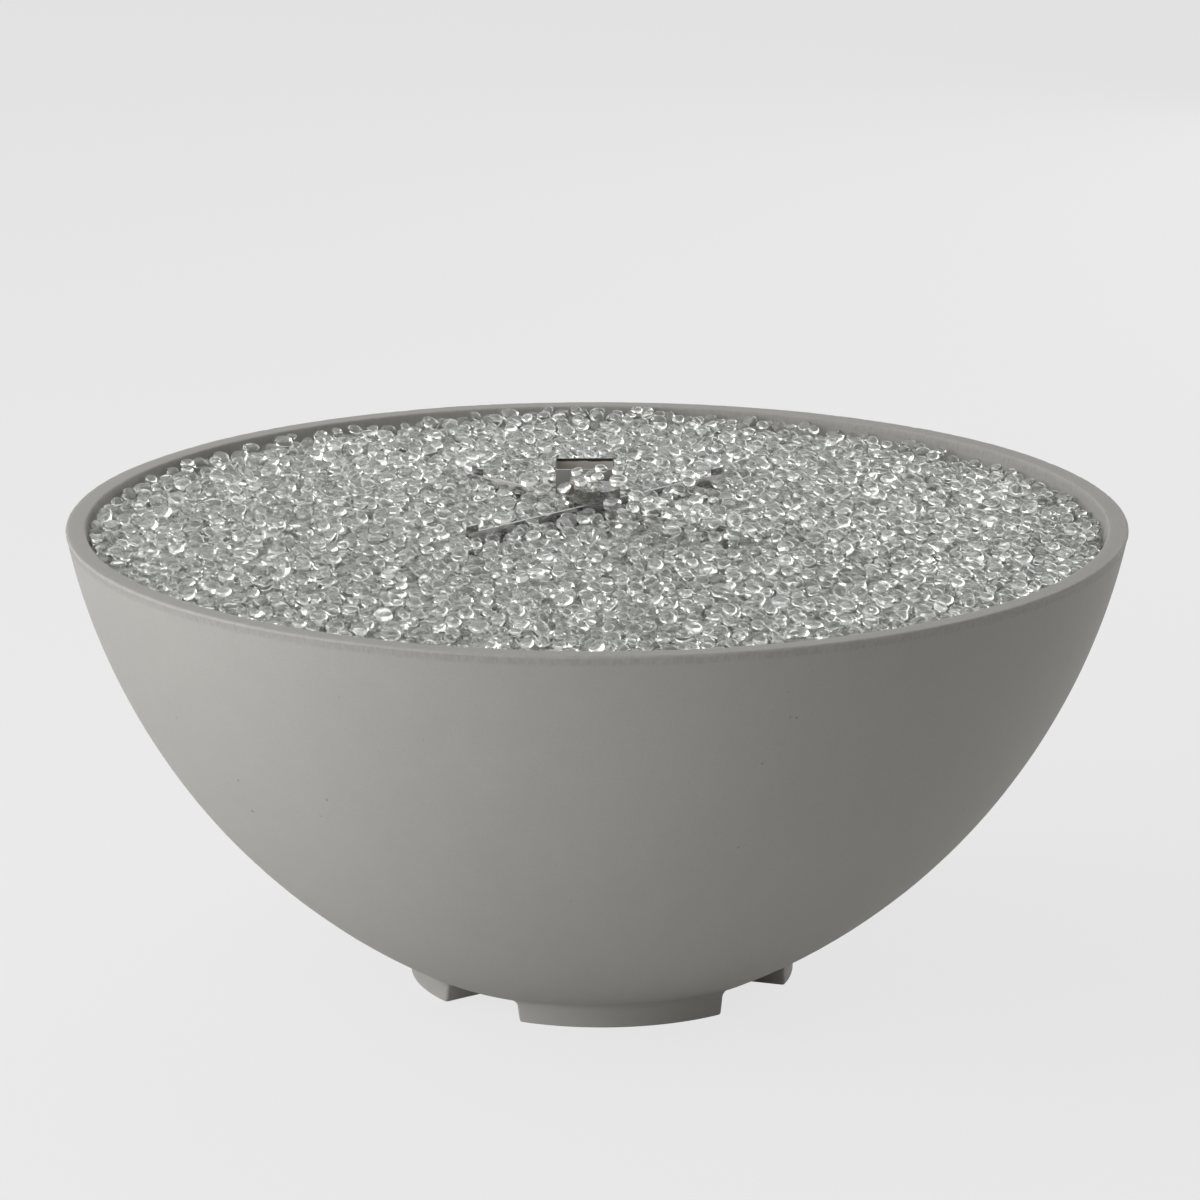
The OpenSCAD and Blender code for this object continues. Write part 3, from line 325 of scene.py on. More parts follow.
def knob_plastic():
    """Black moulded plastic with a white painted pointer in the groove of the grip."""
    n = Nodes("knob_plastic")
    top = frame_depth("control_knob")
    fine = n.noise(1100, 2, 0.6)
    cloud = n.noise(70, 3, 0.5)
    colour = n.mix(n.ramp(cloud, 0.3, 0.7), BLACK, SOFT_BLACK)
    depth = n.along(PANEL_OUT, PANEL_AT)
    aside = n.maths("ABSOLUTE", n.maths("ADD", n.axis("X"), VALVE_X))
    groove = n.ramp(aside, 0.00095, 0.00105, 1.0, 0.0)
    groove = n.maths("MULTIPLY", groove, n.ramp(depth, top - 0.0012, top - 0.0010))
    groove = n.maths("MULTIPLY", groove, n.ramp(depth, top - 0.0004, top - 0.0002, 1.0, 0.0))
    colour = n.mix(groove, colour, (0.78, 0.78, 0.76, 1))
    n.set(Base_Color=colour, Roughness=n.ramp(fine, 0.3, 0.7, 0.34, 0.48))
    n.bump(fine, 0.12, 0.0002)
    return n.material


def dial_face():
    """Brushed dial with dark paint in its sunk ticks."""
    n = Nodes("dial_face")
    top = frame_depth("knob_dial")
    strokes = n.noise(160, 4, 0.6, n.stretched((0.05, 1, 1)))
    colour = n.mix(n.ramp(strokes, 0.3, 0.7), (0.52, 0.52, 0.51, 1), (0.66, 0.66, 0.65, 1))
    sunk = n.ramp(n.along(PANEL_OUT, PANEL_AT), top - 0.0004, top - 0.0002, 1.0, 0.0)
    colour = n.mix(sunk, colour, (0.02, 0.02, 0.02, 1))
    n.set(Base_Color=colour, Metallic=n.maths("SUBTRACT", 1.0, sunk))
    n.set(Roughness=n.ramp(strokes, 0.3, 0.7, 0.28, 0.42))
    n.bump(strokes, 0.05, 0.0003)
    return n.material


def frame_depth(node):
    """How far a CAD node reaches out of the panel's middle, along the panel's outward direction."""
    mesh = frame["nodes"][node].data
    points = np.empty(len(mesh.vertices) * 3)
    mesh.vertices.foreach_get("co", points)
    away = points.reshape(-1, 3) - np.array(PANEL_AT)
    return float((away @ np.array(PANEL_OUT)).max())


def new_object(name, points, faces, materials, smooth=True, slots=None):
    """A mesh object from arrays of points and of triangles or quads."""
    mesh = bpy.data.meshes.new(name)
    faces = np.asarray(faces, dtype=np.int32)
    mesh.vertices.add(len(points))
    mesh.vertices.foreach_set("co", np.asarray(points, dtype=np.float32).ravel())
    mesh.loops.add(faces.size)
    mesh.loops.foreach_set("vertex_index", faces.ravel())
    mesh.polygons.add(len(faces))
    mesh.polygons.foreach_set("loop_start", np.arange(0, faces.size, faces.shape[1], dtype=np.int32))
    for material in materials:
        mesh.materials.append(material)
    if slots is not None:
        mesh.polygons.foreach_set("material_index", np.asarray(slots, dtype=np.int32))
    mesh.update(calc_edges=True)
    mesh.validate()
    if smooth:
        mesh.shade_smooth()
    obj = bpy.data.objects.new(name, mesh)
    scene.collection.objects.link(obj)
    return obj


def arc(centre, radius, start, end, steps):
    """Points on an arc in the profile's plane, with angles in radians."""
    turn = np.linspace(start, end, steps)
    return np.column_stack([centre[0] + radius * np.cos(turn), centre[1] + radius * np.sin(turn)])


def side_rows(inset, z0, z1, steps):
    """Points up or down the bowl's side, at a depth under its outer face."""
    z = np.linspace(z0, z1, steps)
    return np.column_stack([side_x(z, inset), z])


def bowl_profile():
    """The bowl's section as a closed line of [distance from the axis, height], and how worn each point is."""
    outer_r, inner_r = 0.0026, 0.0022
    inner_x = float(side_x(BOWL_H, WALL_T))
    ledge_in, ledge_out = float(side_x(LEDGE_Z, LOWER_WALL_T)), float(side_x(LEDGE_Z, WALL_T))
    parts = [
        (np.linspace((HOLE_R, FOOT_H), (BASE_R - 0.002, FOOT_H), 7), 0.0),
        (side_rows(0, FOOT_H + 0.0015, BOWL_H - outer_r - 0.001, 46), 0.0),
        (arc((RIM_R - outer_r - 0.0002, BOWL_H - outer_r), outer_r, 0.02, math.pi / 2, 7), 1.0),
        (np.linspace((RIM_R - 0.007, BOWL_H), (inner_x + 0.006, BOWL_H), 4), 0.15),
        (arc((inner_x + inner_r, BOWL_H - inner_r), inner_r, math.pi / 2, math.pi, 6), 0.8),
        (side_rows(WALL_T, BOWL_H - 0.006, LEDGE_Z, 7), 0.0),
        (np.linspace((ledge_out - 0.001, LEDGE_Z), (ledge_in, LEDGE_Z), 2), 0.0),
        (side_rows(LOWER_WALL_T, LEDGE_Z - 0.002, FLOOR_Z, 11), 0.0),
        (np.linspace((float(side_x(FLOOR_Z, LOWER_WALL_T)) - 0.004, FLOOR_Z), (HOLE_R, FLOOR_Z), 4), 0.0),
        (np.linspace((HOLE_R, FLOOR_Z - 0.006), (HOLE_R, FOOT_H + 0.004), 2), 0.0),
    ]
    points = np.vstack([p for p, _ in parts])
    wear = np.concatenate([np.full(len(p), w) for p, w in parts])
    return points, wear


CORNERS = ((1, 1), (-1, 1), (-1, -1), (1, -1))


def rounded_sector(low, high, half, corner, steps):
    """Outline of a foot at one level: an arc-shaped bar with rounded corners, and half its length."""
    middle = (low + high) / 2
    outline = []
    for start, (sx, sy) in enumerate(CORNERS):
        cx, cy = sx * (half - corner), (high if sy > 0 else low) - sy * corner
        turn = np.linspace(start, start + 1, 7) * math.pi / 2
        outline.append(np.column_stack([cx + corner * np.cos(turn), cy + corner * np.sin(turn)]))
    dense = []
    for i, part in enumerate(outline):
        following = outline[(i + 1) % 4][0]
        dense.append(part)
        count = steps if i in (0, 2) else 8
        dense.append(np.linspace(part[-1], following, count + 2)[1:-1])
    flat = np.vstack(dense)
    turn = flat[:, 0] / middle
    return flat[:, 1] * np.sin(turn), -flat[:, 1] * np.cos(turn)


def foot_mesh(turn):
    """A cast foot, lofted level by level, with a rounded lower edge and a hollow fillet up to the bowl."""
    edge, draft, fillet, corner, sink = 0.002, 0.003, 0.0045, 0.003, 0.0006
    lift_z, straight_z = 0.006, 0.009
    half = FOOT_SPAN / 2 * (FOOT_R - FOOT_T / 2) + FOOT_LONGER
    c, s = math.cos(turn), math.sin(turn)
    wall_slope = (BASE_R - SIDE_C[0]) / (SIDE_C[1] - FOOT_H)
    levels = [(edge * (1 - math.cos(a)), edge * (math.sin(a) - 1)) for a in np.linspace(0, math.pi / 2, 4)]
    levels += [(z, 0.0) for z in (lift_z, straight_z, FOOT_H - fillet)]
    for a in np.linspace(0, math.pi / 2, 9)[1:]:
        levels.append((FOOT_H - fillet + fillet * math.sin(a), fillet * (1 - math.cos(a))))
    levels.append((FOOT_H + sink, fillet + 0.002))
    rows = []
    for z, out in levels:
        lean = draft * (min(z, FOOT_H) / FOOT_H - 1)
        x, y = rounded_sector(FOOT_R - FOOT_T - out, FOOT_R + out, half + out + lean, corner + out, 44)
        x, y = c * x - s * y + FOOT_SHIFT, s * x + c * y
        share = min(max((z - lift_z) / (FOOT_H - lift_z), 0.0), 1.0)
        lift = wall_slope * np.maximum(np.hypot(x, y) - BASE_R, 0.0) * share
        rows.append(np.column_stack([x, y, z + lift]))
    count = len(rows[0])
    points = np.vstack(rows)
    quads = []
    for i in range(len(rows) - 1):
        for k in range(count):
            a, b = i * count + k, i * count + (k + 1) % count
            quads.append((b, a, a + count, b + count))
    return points, quads, list(range(count))


def build_bowl(material):
    """The bowl turned from its section, faintly uneven, with small chips along the rim."""
    swell, ripple, fray = 0.00035, 0.00012, 0.00025
    chip_depth, chip_from = 0.0015, 0.42
    profile, wear = bowl_profile()
    rows, segments = len(profile), 930
    turn = np.linspace(0, 2 * math.pi, segments, endpoint=False)
    points = np.empty((rows, segments, 3))
    points[:, :, 0] = profile[:, None, 0] * np.cos(turn)
    points[:, :, 1] = profile[:, None, 0] * np.sin(turn)
    points[:, :, 2] = profile[:, None, 1]
    before, after = np.roll(profile, 1, axis=0), np.roll(profile, -1, axis=0)
    tangent = after - before
    normal = np.column_stack([tangent[:, 1], -tangent[:, 0]])
    normal /= np.linalg.norm(normal, axis=1)[:, None]
    push = np.zeros((rows, segments))
    for i in range(rows):
        low_inside = profile[i, 1] < LEDGE_Z - 0.05 and profile[i, 0] < side_x(profile[i, 1], 0.01)
        if profile[i, 0] < BASE_R or low_inside:
            continue
        for k in range(segments):
            p = Vector(points[i, k])
            push[i, k] = swell * noise.noise(p * 7) + ripple * noise.noise(p * 31)
            if wear[i] > 0.5:
                chip = noise.noise(p * 55) + 0.5 * noise.noise(p * 140)
                push[i, k] -= chip_depth * max(0.0, chip - chip_from) + fray * noise.noise(p * 90)
    points[:, :, 0] += push * normal[:, None, 0] * np.cos(turn)
    points[:, :, 1] += push * normal[:, None, 0] * np.sin(turn)
    points[:, :, 2] += push * normal[:, None, 1]
    points = points.reshape(-1, 3)
    i, k = np.meshgrid(np.arange(rows), np.arange(segments), indexing="ij")
    i2, k2 = (i + 1) % rows, (k + 1) % segments
    quads = np.stack([i * segments + k, i * segments + k2, i2 * segments + k2, i2 * segments + k], axis=-1)
    bowl = new_object("bowl_concrete", points, quads.reshape(-1, 4), [material])
    attribute = bowl.data.attributes.new("edge_wear", "FLOAT", "POINT")
    attribute.data.foreach_set("value", np.repeat(wear, segments).astype(np.float32))
    cut_recess(bowl)
    add_feet(bowl)
    bowl.data.shade_smooth()
    bowl.data.set_sharp_from_angle(angle=math.radians(38))
    return bowl


def cutter(name, matrix, w, h, r, z0, z1):
    """A rounded prism as an object of its own, for cutting a hole."""
    bm = bmesh.new()
    rounded_prism(bm, w, h, r, z0, z1)
    bm.transform(matrix)
    bmesh.ops.recalc_face_normals(bm, faces=bm.faces)
    mesh = bpy.data.meshes.new(name)
    bm.to_mesh(mesh)
    bm.free()
    obj = bpy.data.objects.new(name, mesh)
    scene.collection.objects.link(obj)
    return obj


def rounded_prism(bm, w, h, r, z0, z1):
    """Adds a prism, w by h with rounded corners, from z0 to z1."""
    ring = []
    for start, (sx, sy) in enumerate(CORNERS):
        cx, cy = sx * (w / 2 - r), sy * (h / 2 - r)
        for step in range(9):
            a = (start + step / 8) * math.pi / 2
            ring.append((cx + r * math.cos(a), cy + r * math.sin(a)))
    low = [bm.verts.new((x, y, z0)) for x, y in ring]
    high = [bm.verts.new((x, y, z1)) for x, y in ring]
    bm.faces.new(low)
    bm.faces.new(high)
    for a in range(len(ring)):
        b = (a + 1) % len(ring)
        bm.faces.new((low[a], low[b], high[b], high[a]))


def cut_recess(bowl):
    """Cuts the control panel's recess and window, and the holes for the wall plugs."""
    seat = -RECESS_DEPTH
    tools = [
        cutter("cut_recess", AT_PANEL, RECESS_W, RECESS_H, RECESS_R, seat, 0.03),
        cutter("cut_window", AT_PANEL, WINDOW_W, WINDOW_H, 0.001, -0.07, seat + 0.004),
    ]
    places = []
    for x in (-PANEL_SCREW[0], PANEL_SCREW[0]):
        for y in (-PANEL_SCREW[1], PANEL_SCREW[1]):
            places.append(AT_PANEL @ Matrix.Translation((x, y, seat + PANEL_T - PLUG_DEPTH)))
    for step in range(3):
        a = math.pi / 2 + 2 * math.pi * step / 3
        x, y = INLET_RING_R * math.cos(a), INLET_RING_R * math.sin(a)
        places.append(Matrix.Translation((x, y, INLET_TOP - PLUG_DEPTH)))
    for place in places:
        tools.append(cutter("cut_plug", place, 2 * PLUG_R, 2 * PLUG_R, PLUG_R * 0.99, 0, PLUG_DEPTH + 0.001))
    for tool in tools:
        modifier = bowl.modifiers.new(tool.name, "BOOLEAN")
        modifier.operation, modifier.solver, modifier.object = "DIFFERENCE", "EXACT", tool
    graph = bpy.context.evaluated_depsgraph_get()
    result = bpy.data.meshes.new_from_object(bowl.evaluated_get(graph))
    bowl.modifiers.clear()
    bowl.data = result
    for tool in tools:
        bpy.data.objects.remove(tool)


def add_feet(bowl):
    """Adds the four cast feet to the bowl's mesh, worn along their lower edges."""
    wear, worn_z = 0.8, 0.0024
    bm = bmesh.new()
    bm.from_mesh(bowl.data)
    layer = bm.verts.layers.float["edge_wear"]
    for step, slip in enumerate(FOOT_SLIPS):
        turn = FOOT_TURN + math.radians(slip) + 2 * math.pi * step / len(FOOT_SLIPS)
        points, quads, floor = foot_mesh(turn)
        verts = [bm.verts.new(p) for p in points]
        for v in verts:
            v[layer] = wear if v.co.z < worn_z else 0.0
        for q in quads:
            bm.faces.new([verts[i] for i in q])
        bm.faces.new([verts[i] for i in floor])
    bm.to_mesh(bowl.data)
    bm.free()


# Heaps on the bed, as height, middle and spread: at the back, before the shield and before the hub
HEAPS = (
    (0.006, (-0.035, 0.50), (0.14, 0.07)),
    (0.018, (-0.022, 0.088), (0.040, 0.022)),
    (0.006, (0.0, 0.005), (0.024, 0.014)),
)
# Stretches of the arms that beads lie over, by heading: back right, back left, front left, front right
COVERED = {
    45: [(0.117, 0.131)],
    135: [(0.092, 0.108), (0.168, 0.196)],
    225: [(0.068, 0.082), (0.117, 0.131)],
    315: [(0.046, 0.200)],
}


def along_arm(x, y, heading):
    """Distance along an arm from the hub's middle, and distance to its side."""
    c, s = math.cos(math.radians(heading)), math.sin(math.radians(heading))
    return c * x + s * (y - HUB_Y), np.abs(c * (y - HUB_Y) - s * x)


def on_hub(x, y):
    """Where beads may lie on the hub's top: all of it but a strip along its front edge."""
    return (np.abs(x) < HUB_HALF) & (np.abs(y - HUB_Y - 0.003) < HUB_HALF - 0.003)


def bed_top(x, y):
    """Height that the beads' tops reach: a low dome, a little higher on the left, with heaps."""
    reach = np.hypot(x, y) / BED_R
    top = BED_EDGE_Z + BED_RISE * (1 - reach ** 2) - BED_SLOPE * x
    for height, middle, spread in HEAPS:
        top = top + height * np.exp(-((x - middle[0]) / spread[0]) ** 2 - ((y - middle[1]) / spread[1]) ** 2)
    heap = np.zeros(np.shape(x))
    for heading, stretches in COVERED.items():
        along, aside = along_arm(x, y, heading)
        if heading == 45:
            top = top + RIDGE * np.exp(-(aside / 0.026) ** 2) * ((along > 0.03) & (along < ARM_L))
        for start, end in stretches:
            beyond = np.maximum(np.maximum(start - along, along - end), 0)
            spread = 0.010 + 0.08 * (end - start)
            height = TIP_HEAP if end > ARM_L else ARM_HEAP
            heap = np.maximum(heap, height * np.exp(-(beyond / 0.010) ** 2 - (aside / spread) ** 2))
    return np.where(on_hub(x, y), HUB_TOP + HUB_LAYER, top + heap)


def bead_floor(gx, gy, r, core):
    """Lowest place of a bead's middle on the grid, in the stretched space, and where it may not lie."""
    floor = core / BEAD_FLAT + r
    gap, wall_gap = 0.86 * r, 0.94 * r
    shut = np.hypot(gx, gy) > float(side_x(BED_WALL_Z, WALL_T)) - wall_gap
    shut |= (np.abs(gx - SHIELD_X) < SHIELD_HALF_X + gap) & (np.abs(gy - SHIELD_Y) < SHIELD_HALF_Y + gap)
    off = np.hypot(np.maximum(np.abs(gx) - HUB_HALF, 0), np.maximum(np.abs(gy - HUB_Y) - HUB_HALF, 0))
    shut |= (off < gap) & ~on_hub(gx, gy)
    lift = HUB_TOP / BEAD_FLAT + np.sqrt(np.maximum(r * r - off * off, 0))
    floor = np.where(off < r, np.maximum(floor, lift), floor)
    for heading, stretches in COVERED.items():
        along, aside = along_arm(gx, gy, heading)
        beside = (aside < ARM_HALF + gap) & (along > 0) & (along < ARM_L + 0.25 * gap)
        over = np.zeros(gx.shape, dtype=bool)
        for start, end in stretches:
            over |= (along > start) & (along < end)
        off = np.maximum(aside - ARM_TOP_HALF, 0)
        lift = ARM_TOP / BEAD_FLAT + np.sqrt(np.maximum(r * r - off * off, 0))
        floor = np.where(beside & over & (off < r), np.maximum(floor, lift), floor)
        shut |= beside & ~over
    return floor, shut


def deposit_beads():
    """Drops beads one by one into the lowest places, as spheres in a space that is stretched in height."""
    line = np.arange(-GRID_REACH, GRID_REACH + 0.0001, GRID_STEP)
    gx, gy = np.meshgrid(line, line, indexing="ij")
    top = bed_top(gx, gy)
    core = np.where(on_hub(gx, gy), HUB_TOP, top - BEAD_LAYER)
    floors, closed = zip(*[bead_floor(gx, gy, r, core) for r in BEAD_RADII])
    rest = [floor.copy() for floor in floors]
    uneven = rng.normal(0, UNEVEN, gx.shape)
    placed, sizes = np.empty((MOST_BEADS, 3)), np.empty(MOST_BEADS)
    count = 0
    # The whole bed first, then more beads on the hub's top
    for level in (top, np.where(on_hub(gx, gy), top + HUB_EXTRA, 0.0)):
        done = set()
        while len(done) < len(BEAD_RADII) and count < MOST_BEADS:
            kind = int(rng.choice(len(BEAD_RADII), p=BEAD_SHARES))
            if kind in done:
                kind = next(c for c in range(len(BEAD_RADII)) if c not in done)
            r = BEAD_RADII[kind]
            over = rest[kind] * BEAD_FLAT + r * BEAD_FLAT - level + uneven
            over[closed[kind]] = math.inf
            spot = int(np.argmin(over))
            if over.flat[spot] > MOST_OVER:
                done.add(kind)
                continue
            x = gx.flat[spot] + rng.uniform(-0.4, 0.4) * GRID_STEP
            y = gy.flat[spot] + rng.uniform(-0.4, 0.4) * GRID_STEP
            z = float(floors[kind].flat[spot])
            if count:
                away = np.hypot(placed[:count, 0] - x, placed[:count, 1] - y)
                both = sizes[:count] + r
                near = away < both
                if near.any():
                    resting = placed[:count, 2][near] + np.sqrt(both[near] ** 2 - away[near] ** 2)
                    z = max(z, float(resting.max()))
            placed[count], sizes[count] = (x, y, z), r
            count += 1
            for other, size in enumerate(BEAD_RADII):
                both = size + r
                i0, i1 = np.searchsorted(line, (x - both, x + both))
                k0, k1 = np.searchsorted(line, (y - both, y + both))
                away = (gx[i0:i1, k0:k1] - x) ** 2 + (gy[i0:i1, k0:k1] - y) ** 2
                lift = z + np.sqrt(np.maximum(both * both - away, 0))
                patch = rest[other][i0:i1, k0:k1]
                np.maximum(patch, np.where(away < both * both, lift, 0), out=patch)
    placed = placed[:count].copy()
    placed[:, 2] *= BEAD_FLAT
    return placed, sizes[:count].copy()


def pebble(level, count):
    """Some unit pebbles with softly rounded sides, slightly uneven, that share their faces."""
    bm = bmesh.new()
    bmesh.ops.create_icosphere(bm, subdivisions=level, radius=1.0)
    base = np.array([v.co for v in bm.verts])
    faces = np.array([[v.index for v in f.verts] for f in bm.faces])
    bm.free()
    power, ball = 10, 1.04
    shapes = []
    for _ in range(count):
        sides = rng.normal(0, 1, (7, 3))
        sides /= np.linalg.norm(sides, axis=1)[:, None] * rng.uniform(0.86, 1.0, (7, 1))
        blunt = (ball ** -power + (np.maximum(base @ sides.T, 0) ** power).sum(axis=1)) ** (-1 / power)
        bulge = np.zeros(len(base))
        for _ in range(4):
            bulge += rng.uniform(0.006, 0.020) * np.sin(base @ rng.normal(0, 1.7, 3) + rng.uniform(0, 6.3))
        shapes.append(base * (1 + bulge)[:, None] * blunt[:, None])
    return shapes, faces


def turned(count):
    """Random turns: any heading, mostly lying flat, a few leaning over."""
    heading = rng.uniform(0, 2 * math.pi, count)
    leaning = rng.random(count) < 0.14
    lean = np.where(leaning, rng.normal(0, 0.60, count), rng.normal(0, 0.20, count))
    about = rng.uniform(0, 2 * math.pi, count)
    return [
        np.array(Matrix.Rotation(l, 3, Vector((math.cos(a), math.sin(a), 0))) @ Matrix.Rotation(h, 3, "Z"))
        for h, l, a in zip(heading, lean, about)
    ]


def build_beads(materials):
    """The single beads of the upper layer, in pieces by their heading from the middle."""
    places, sizes = deposit_beads()
    count = len(places)
    depth = bed_top(places[:, 0], places[:, 1]) - places[:, 2] - BEAD_FLAT * sizes
    fine = depth < FINE_DEPTH
    shapes = {True: pebble(3, 14), False: pebble(2, 14)}
    turns = turned(count)
    wide = np.column_stack([
        sizes * rng.uniform(0.93, 1.04, count),
        sizes * rng.uniform(0.80, 0.97, count),
        sizes * BEAD_FLAT * rng.uniform(0.88, 1.10, count),
    ])
    tint = rng.integers(0, len(materials), count)
    heading = np.arctan2(places[:, 1], places[:, 0]) + math.pi
    sector = np.floor(heading / (2 * math.pi) * BEAD_PIECES).astype(int) % BEAD_PIECES
    for part in range(BEAD_PIECES):
        points, faces, slots, first = [], [], [], 0
        for i in np.flatnonzero(sector == part):
            forms, form_faces = shapes[bool(fine[i])]
            form = forms[int(rng.integers(len(forms)))] * wide[i]
            points.append(form @ turns[i].T + places[i])
            faces.append(form_faces + first)
            slots.append(np.full(len(form_faces), tint[i]))
            first += len(form)
        name = "glass_beads_%02d" % (part + 1)
        beads = new_object(name, np.vstack(points), np.vstack(faces), materials, slots=np.concatenate(slots))
        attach(beads, BODY)


def build_core(material):
    """The deeper beads as one uneven bed, seen only through the beads above it."""
    rings, segments = 84, 300
    lump_scale, lump_depth, sunk = 58, 0.006, 0.0265
    reach = np.linspace(0.004, float(side_x(0.44, WALL_T)) - 0.001, rings)
    turn = np.linspace(0, 2 * math.pi, segments, endpoint=False)
    x, y = reach[:, None] * np.cos(turn), reach[:, None] * np.sin(turn)
    lumps = np.array([
        noise.voronoi(Vector((px, py, 0)) * lump_scale)[0][0] for px, py in zip(x.ravel(), y.ravel())
    ]).reshape(x.shape)
    z = bed_top(x, y) - sunk - lump_depth * lumps
    low_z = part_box("burner_plate")[1][2] + 0.0005
    low_r = float(side_x(LEDGE_Z, WALL_T)) - 0.001
    points = [np.column_stack([x.ravel(), y.ravel(), z.ravel()])]
    points.append(np.column_stack([low_r * np.cos(turn), low_r * np.sin(turn), np.full(segments, low_z)]))
    points.append(np.array([[0, 0, z[0].mean()], [0, 0, low_z]]))
    k = np.arange(segments)
    k2 = (k + 1) % segments
    faces = []
    for i in range(rings):
        faces.append(np.stack([i * segments + k, (i + 1) * segments + k, (i + 1) * segments + k2], axis=1))
        faces.append(np.stack([i * segments + k, (i + 1) * segments + k2, i * segments + k2], axis=1))
    top, low = (rings + 1) * segments, (rings + 1) * segments + 1
    faces.append(np.stack([np.full(segments, top), k, k2], axis=1))
    faces.append(np.stack([np.full(segments, low), rings * segments + k2, rings * segments + k], axis=1))
    core = new_object("glass_bed", np.vstack(points), np.vstack(faces), [material])
    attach(core, BODY)
    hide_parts("fire_glass")


def dress_nodes():
    """Gives each CAD node that stays its finish, by the record's slot or by its own name."""
    by_slot = {
        "stainless": metal("brushed_stainless", grey(0.44, 0.01), grey(0.58, 0.01), 0.34, (0.05, 1, 1)),
        "heated_steel": heated_steel(),
        "zinc_steel": metal(
            "zinc_plate", grey(0.46, -0.01), grey(0.60, -0.01), 0.38, stain=grey(0.36), stain_share=0.5
        ),
        "black_pipe": metal("black_pipe", grey(0.05), grey(0.09), 0.48, (1, 1, 0.2)),
        "brass": metal(
            "brass", (0.52, 0.37, 0.14, 1), (0.70, 0.52, 0.22, 1), 0.32,
            stain=(0.36, 0.24, 0.09, 1), stain_share=0.5,
        ),
        "copper": metal(
            "copper", (0.52, 0.25, 0.13, 1), (0.68, 0.36, 0.20, 1), 0.32, (1, 1, 0.3),
            stain=(0.30, 0.15, 0.09, 1), stain_share=0.6,
        ),
        "ceramic": plastic("ceramic", (0.74, 0.72, 0.65, 1), (0.82, 0.80, 0.74, 1), 0.32, 500),
        "silicone": plastic("silicone", (0.33, 0.035, 0.015, 1), (0.42, 0.05, 0.022, 1), 0.55, 700),
        "nylon": plastic("nylon", (0.62, 0.60, 0.53, 1), (0.70, 0.68, 0.61, 1), 0.5, 600),
        "black_plastic": plastic("black_plastic", BLACK, SOFT_BLACK, 0.42, 1100),
        "battery_jacket": plastic(
            "battery_jacket", (0.02, 0.055, 0.03, 1), (0.03, 0.075, 0.042, 1), 0.28, 500
        ),
        "spring_steel": metal("spring_steel", grey(0.36), grey(0.50), 0.30),
    }
    by_node = {"pilot_shield": shield_steel(), "control_knob": knob_plastic(), "knob_dial": dial_face()}
    for part in frame["record"]["subparts"]:
        node, slot = part["node"], part["material_slot"]
        material = by_node.get(node) or by_slot.get(slot)
        if material is None:
            continue
        for holder in frame["nodes"][node].material_slots:
            holder.material = material


def seen_directly(tree):
    """1 for rays from the camera, a mirror or glass, and 0 for those that only carry light."""
    path = tree.nodes.new("ShaderNodeLightPath")
    total = path.outputs["Is Camera Ray"]
    for kind in ("Is Glossy Ray", "Is Transmission Ray"):
        node = tree.nodes.new("ShaderNodeMath")
        node.operation = "MAXIMUM"
        tree.links.new(total, node.inputs[0])
        tree.links.new(path.outputs[kind], node.inputs[1])
        total = node.outputs[0]
    return total


def build_floor():
    """A pale floor, mostly shown at one even tone, with a share of shading that keeps the shadow."""
    n = Nodes("floor")
    share = n.maths("MULTIPLY", seen_directly(n.tree), 0.88)
    tone = n.noise(1.3, 2, 0.5)
    n.set(Base_Color=n.mix(tone, grey(0.84), grey(0.86)), Roughness=0.9, Specular_IOR_Level=0.0)
    shown = n.add("ShaderNodeEmission", {"Color": grey(0.845), "Strength": 1.0})
    both = n.add("ShaderNodeMixShader", {0: share, 1: n.shader.outputs[0], 2: shown.outputs[0]})
    out = n.tree.nodes["Material Output"]
    n.put(out.inputs["Surface"], both.outputs[0])
    half = 22.0
    corners = [(-half, -half, 0), (half, -half, 0), (half, half, 0), (-half, half, 0)]
    floor = new_object("floor", corners, [[0, 1, 2, 3]], [n.material], False)


def area_light(name, place, aim, width, height, watts, through_glass=True):
    """A soft lamp. Those not through glass give the beads no bright spots inside."""
    lamp = bpy.data.lights.new(name, "AREA")
    lamp.shape, lamp.size, lamp.size_y = "RECTANGLE", width, height
    lamp.energy = watts
    obj = bpy.data.objects.new(name, lamp)
    obj.location = place
    obj.rotation_euler = (Vector(aim) - Vector(place)).to_track_quat("-Z", "Y").to_euler()
    obj.visible_camera = False
    obj.visible_transmission = through_glass
    scene.collection.objects.link(obj)


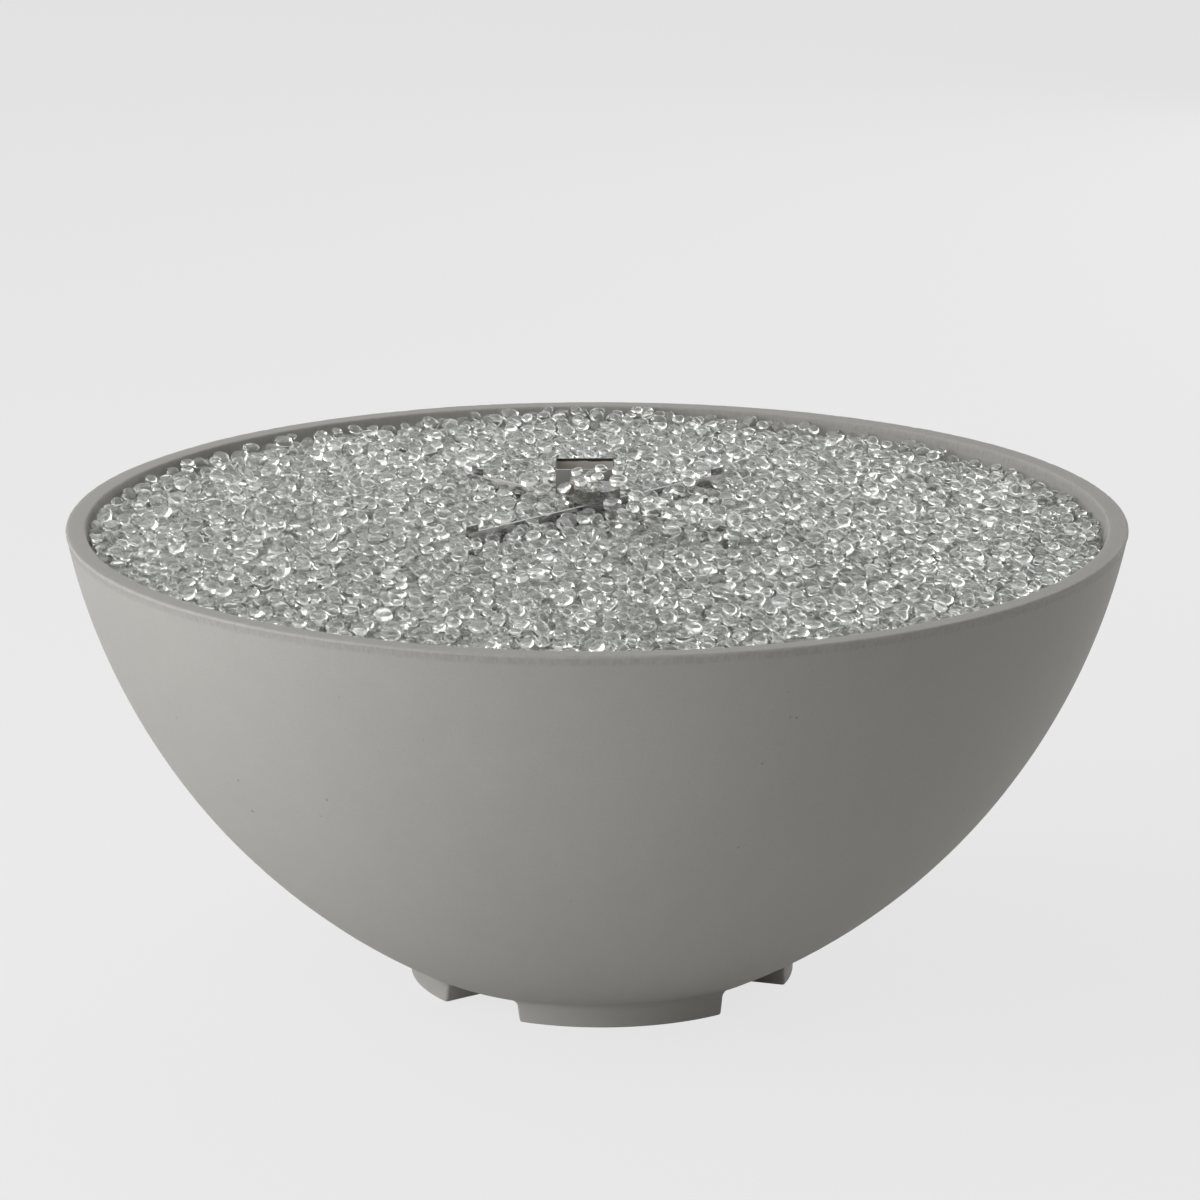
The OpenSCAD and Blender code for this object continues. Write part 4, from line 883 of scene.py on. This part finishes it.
def build_light():
    """A bright studio side on the left, a weaker light behind on the right, and a pale room all round."""
    world = bpy.data.worlds.new("studio")
    scene.world = world
    world.use_nodes = True
    tree = world.node_tree
    room = tree.nodes["Background"]
    room.inputs["Color"].default_value = grey(1.0)
    room.inputs["Strength"].default_value = 0.110
    shown = tree.nodes.new("ShaderNodeBackground")
    shown.inputs["Color"].default_value = grey(0.783)
    both = tree.nodes.new("ShaderNodeMixShader")
    tree.links.new(seen_directly(tree), both.inputs[0])
    tree.links.new(room.outputs[0], both.inputs[1])
    tree.links.new(shown.outputs[0], both.inputs[2])
    tree.links.new(both.outputs[0], tree.nodes["World Output"].inputs["Surface"])
    aim = (0, 0, 0.33)
    area_light("left_low", (-3.9, -0.9, 1.2), aim, 3.6, 2.0, 21, False)
    area_light("left_high", (-3.0, -0.6, 3.0), aim, 6.2, 4.4, 87)
    area_light("left_front", (-3.4, -2.5, 1.6), aim, 5.4, 3.0, 97)
    area_light("right", (3.9, 0.6, 1.4), aim, 2.4, 2.4, 10)
    area_light("right_back", (3.0, 3.0, 1.6), aim, 5.6, 3.0, 85)
    area_light("top", (-0.3, 0.9, 2.9), aim, 1.6, 1.6, 11)


def build_camera():
    """The photo's camera: aimed so that the rim's middle falls on its pixel of the 1200 x 1200 frame."""
    size, focal, distance, lift = 1200, 5582.0, 5.623, math.radians(13.80)
    seen_x, seen_y = 597.0, 517.3
    rim = Vector((0, 0, BOWL_H))
    place = rim + Vector((0, -distance * math.cos(lift), distance * math.sin(lift)))
    pitch = lift + math.atan((size / 2 - seen_y) / focal)
    yaw = -math.atan((size / 2 - seen_x) / focal)
    camera = bpy.data.objects.new("camera", bpy.data.cameras.new("camera"))
    camera.data.sensor_width = 36.0
    camera.data.lens = focal / size * 36.0
    camera.data.clip_end = 100
    camera.location = place
    camera.rotation_euler = (math.pi / 2 - pitch, 0, yaw)
    scene.collection.objects.link(camera)
    scene.camera = camera


build_camera()
build_floor()
build_light()
bowl = build_bowl(concrete())
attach(bowl, BODY)
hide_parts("bowl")
build_core(deep_glass())
build_beads([
    glass("clear_glass", (0.85, 0.86, 0.835, 1)),
    glass("green_glass", (0.77, 0.79, 0.755, 1)),
    glass("grey_glass", (0.81, 0.82, 0.79, 1)),
])
dress_nodes()
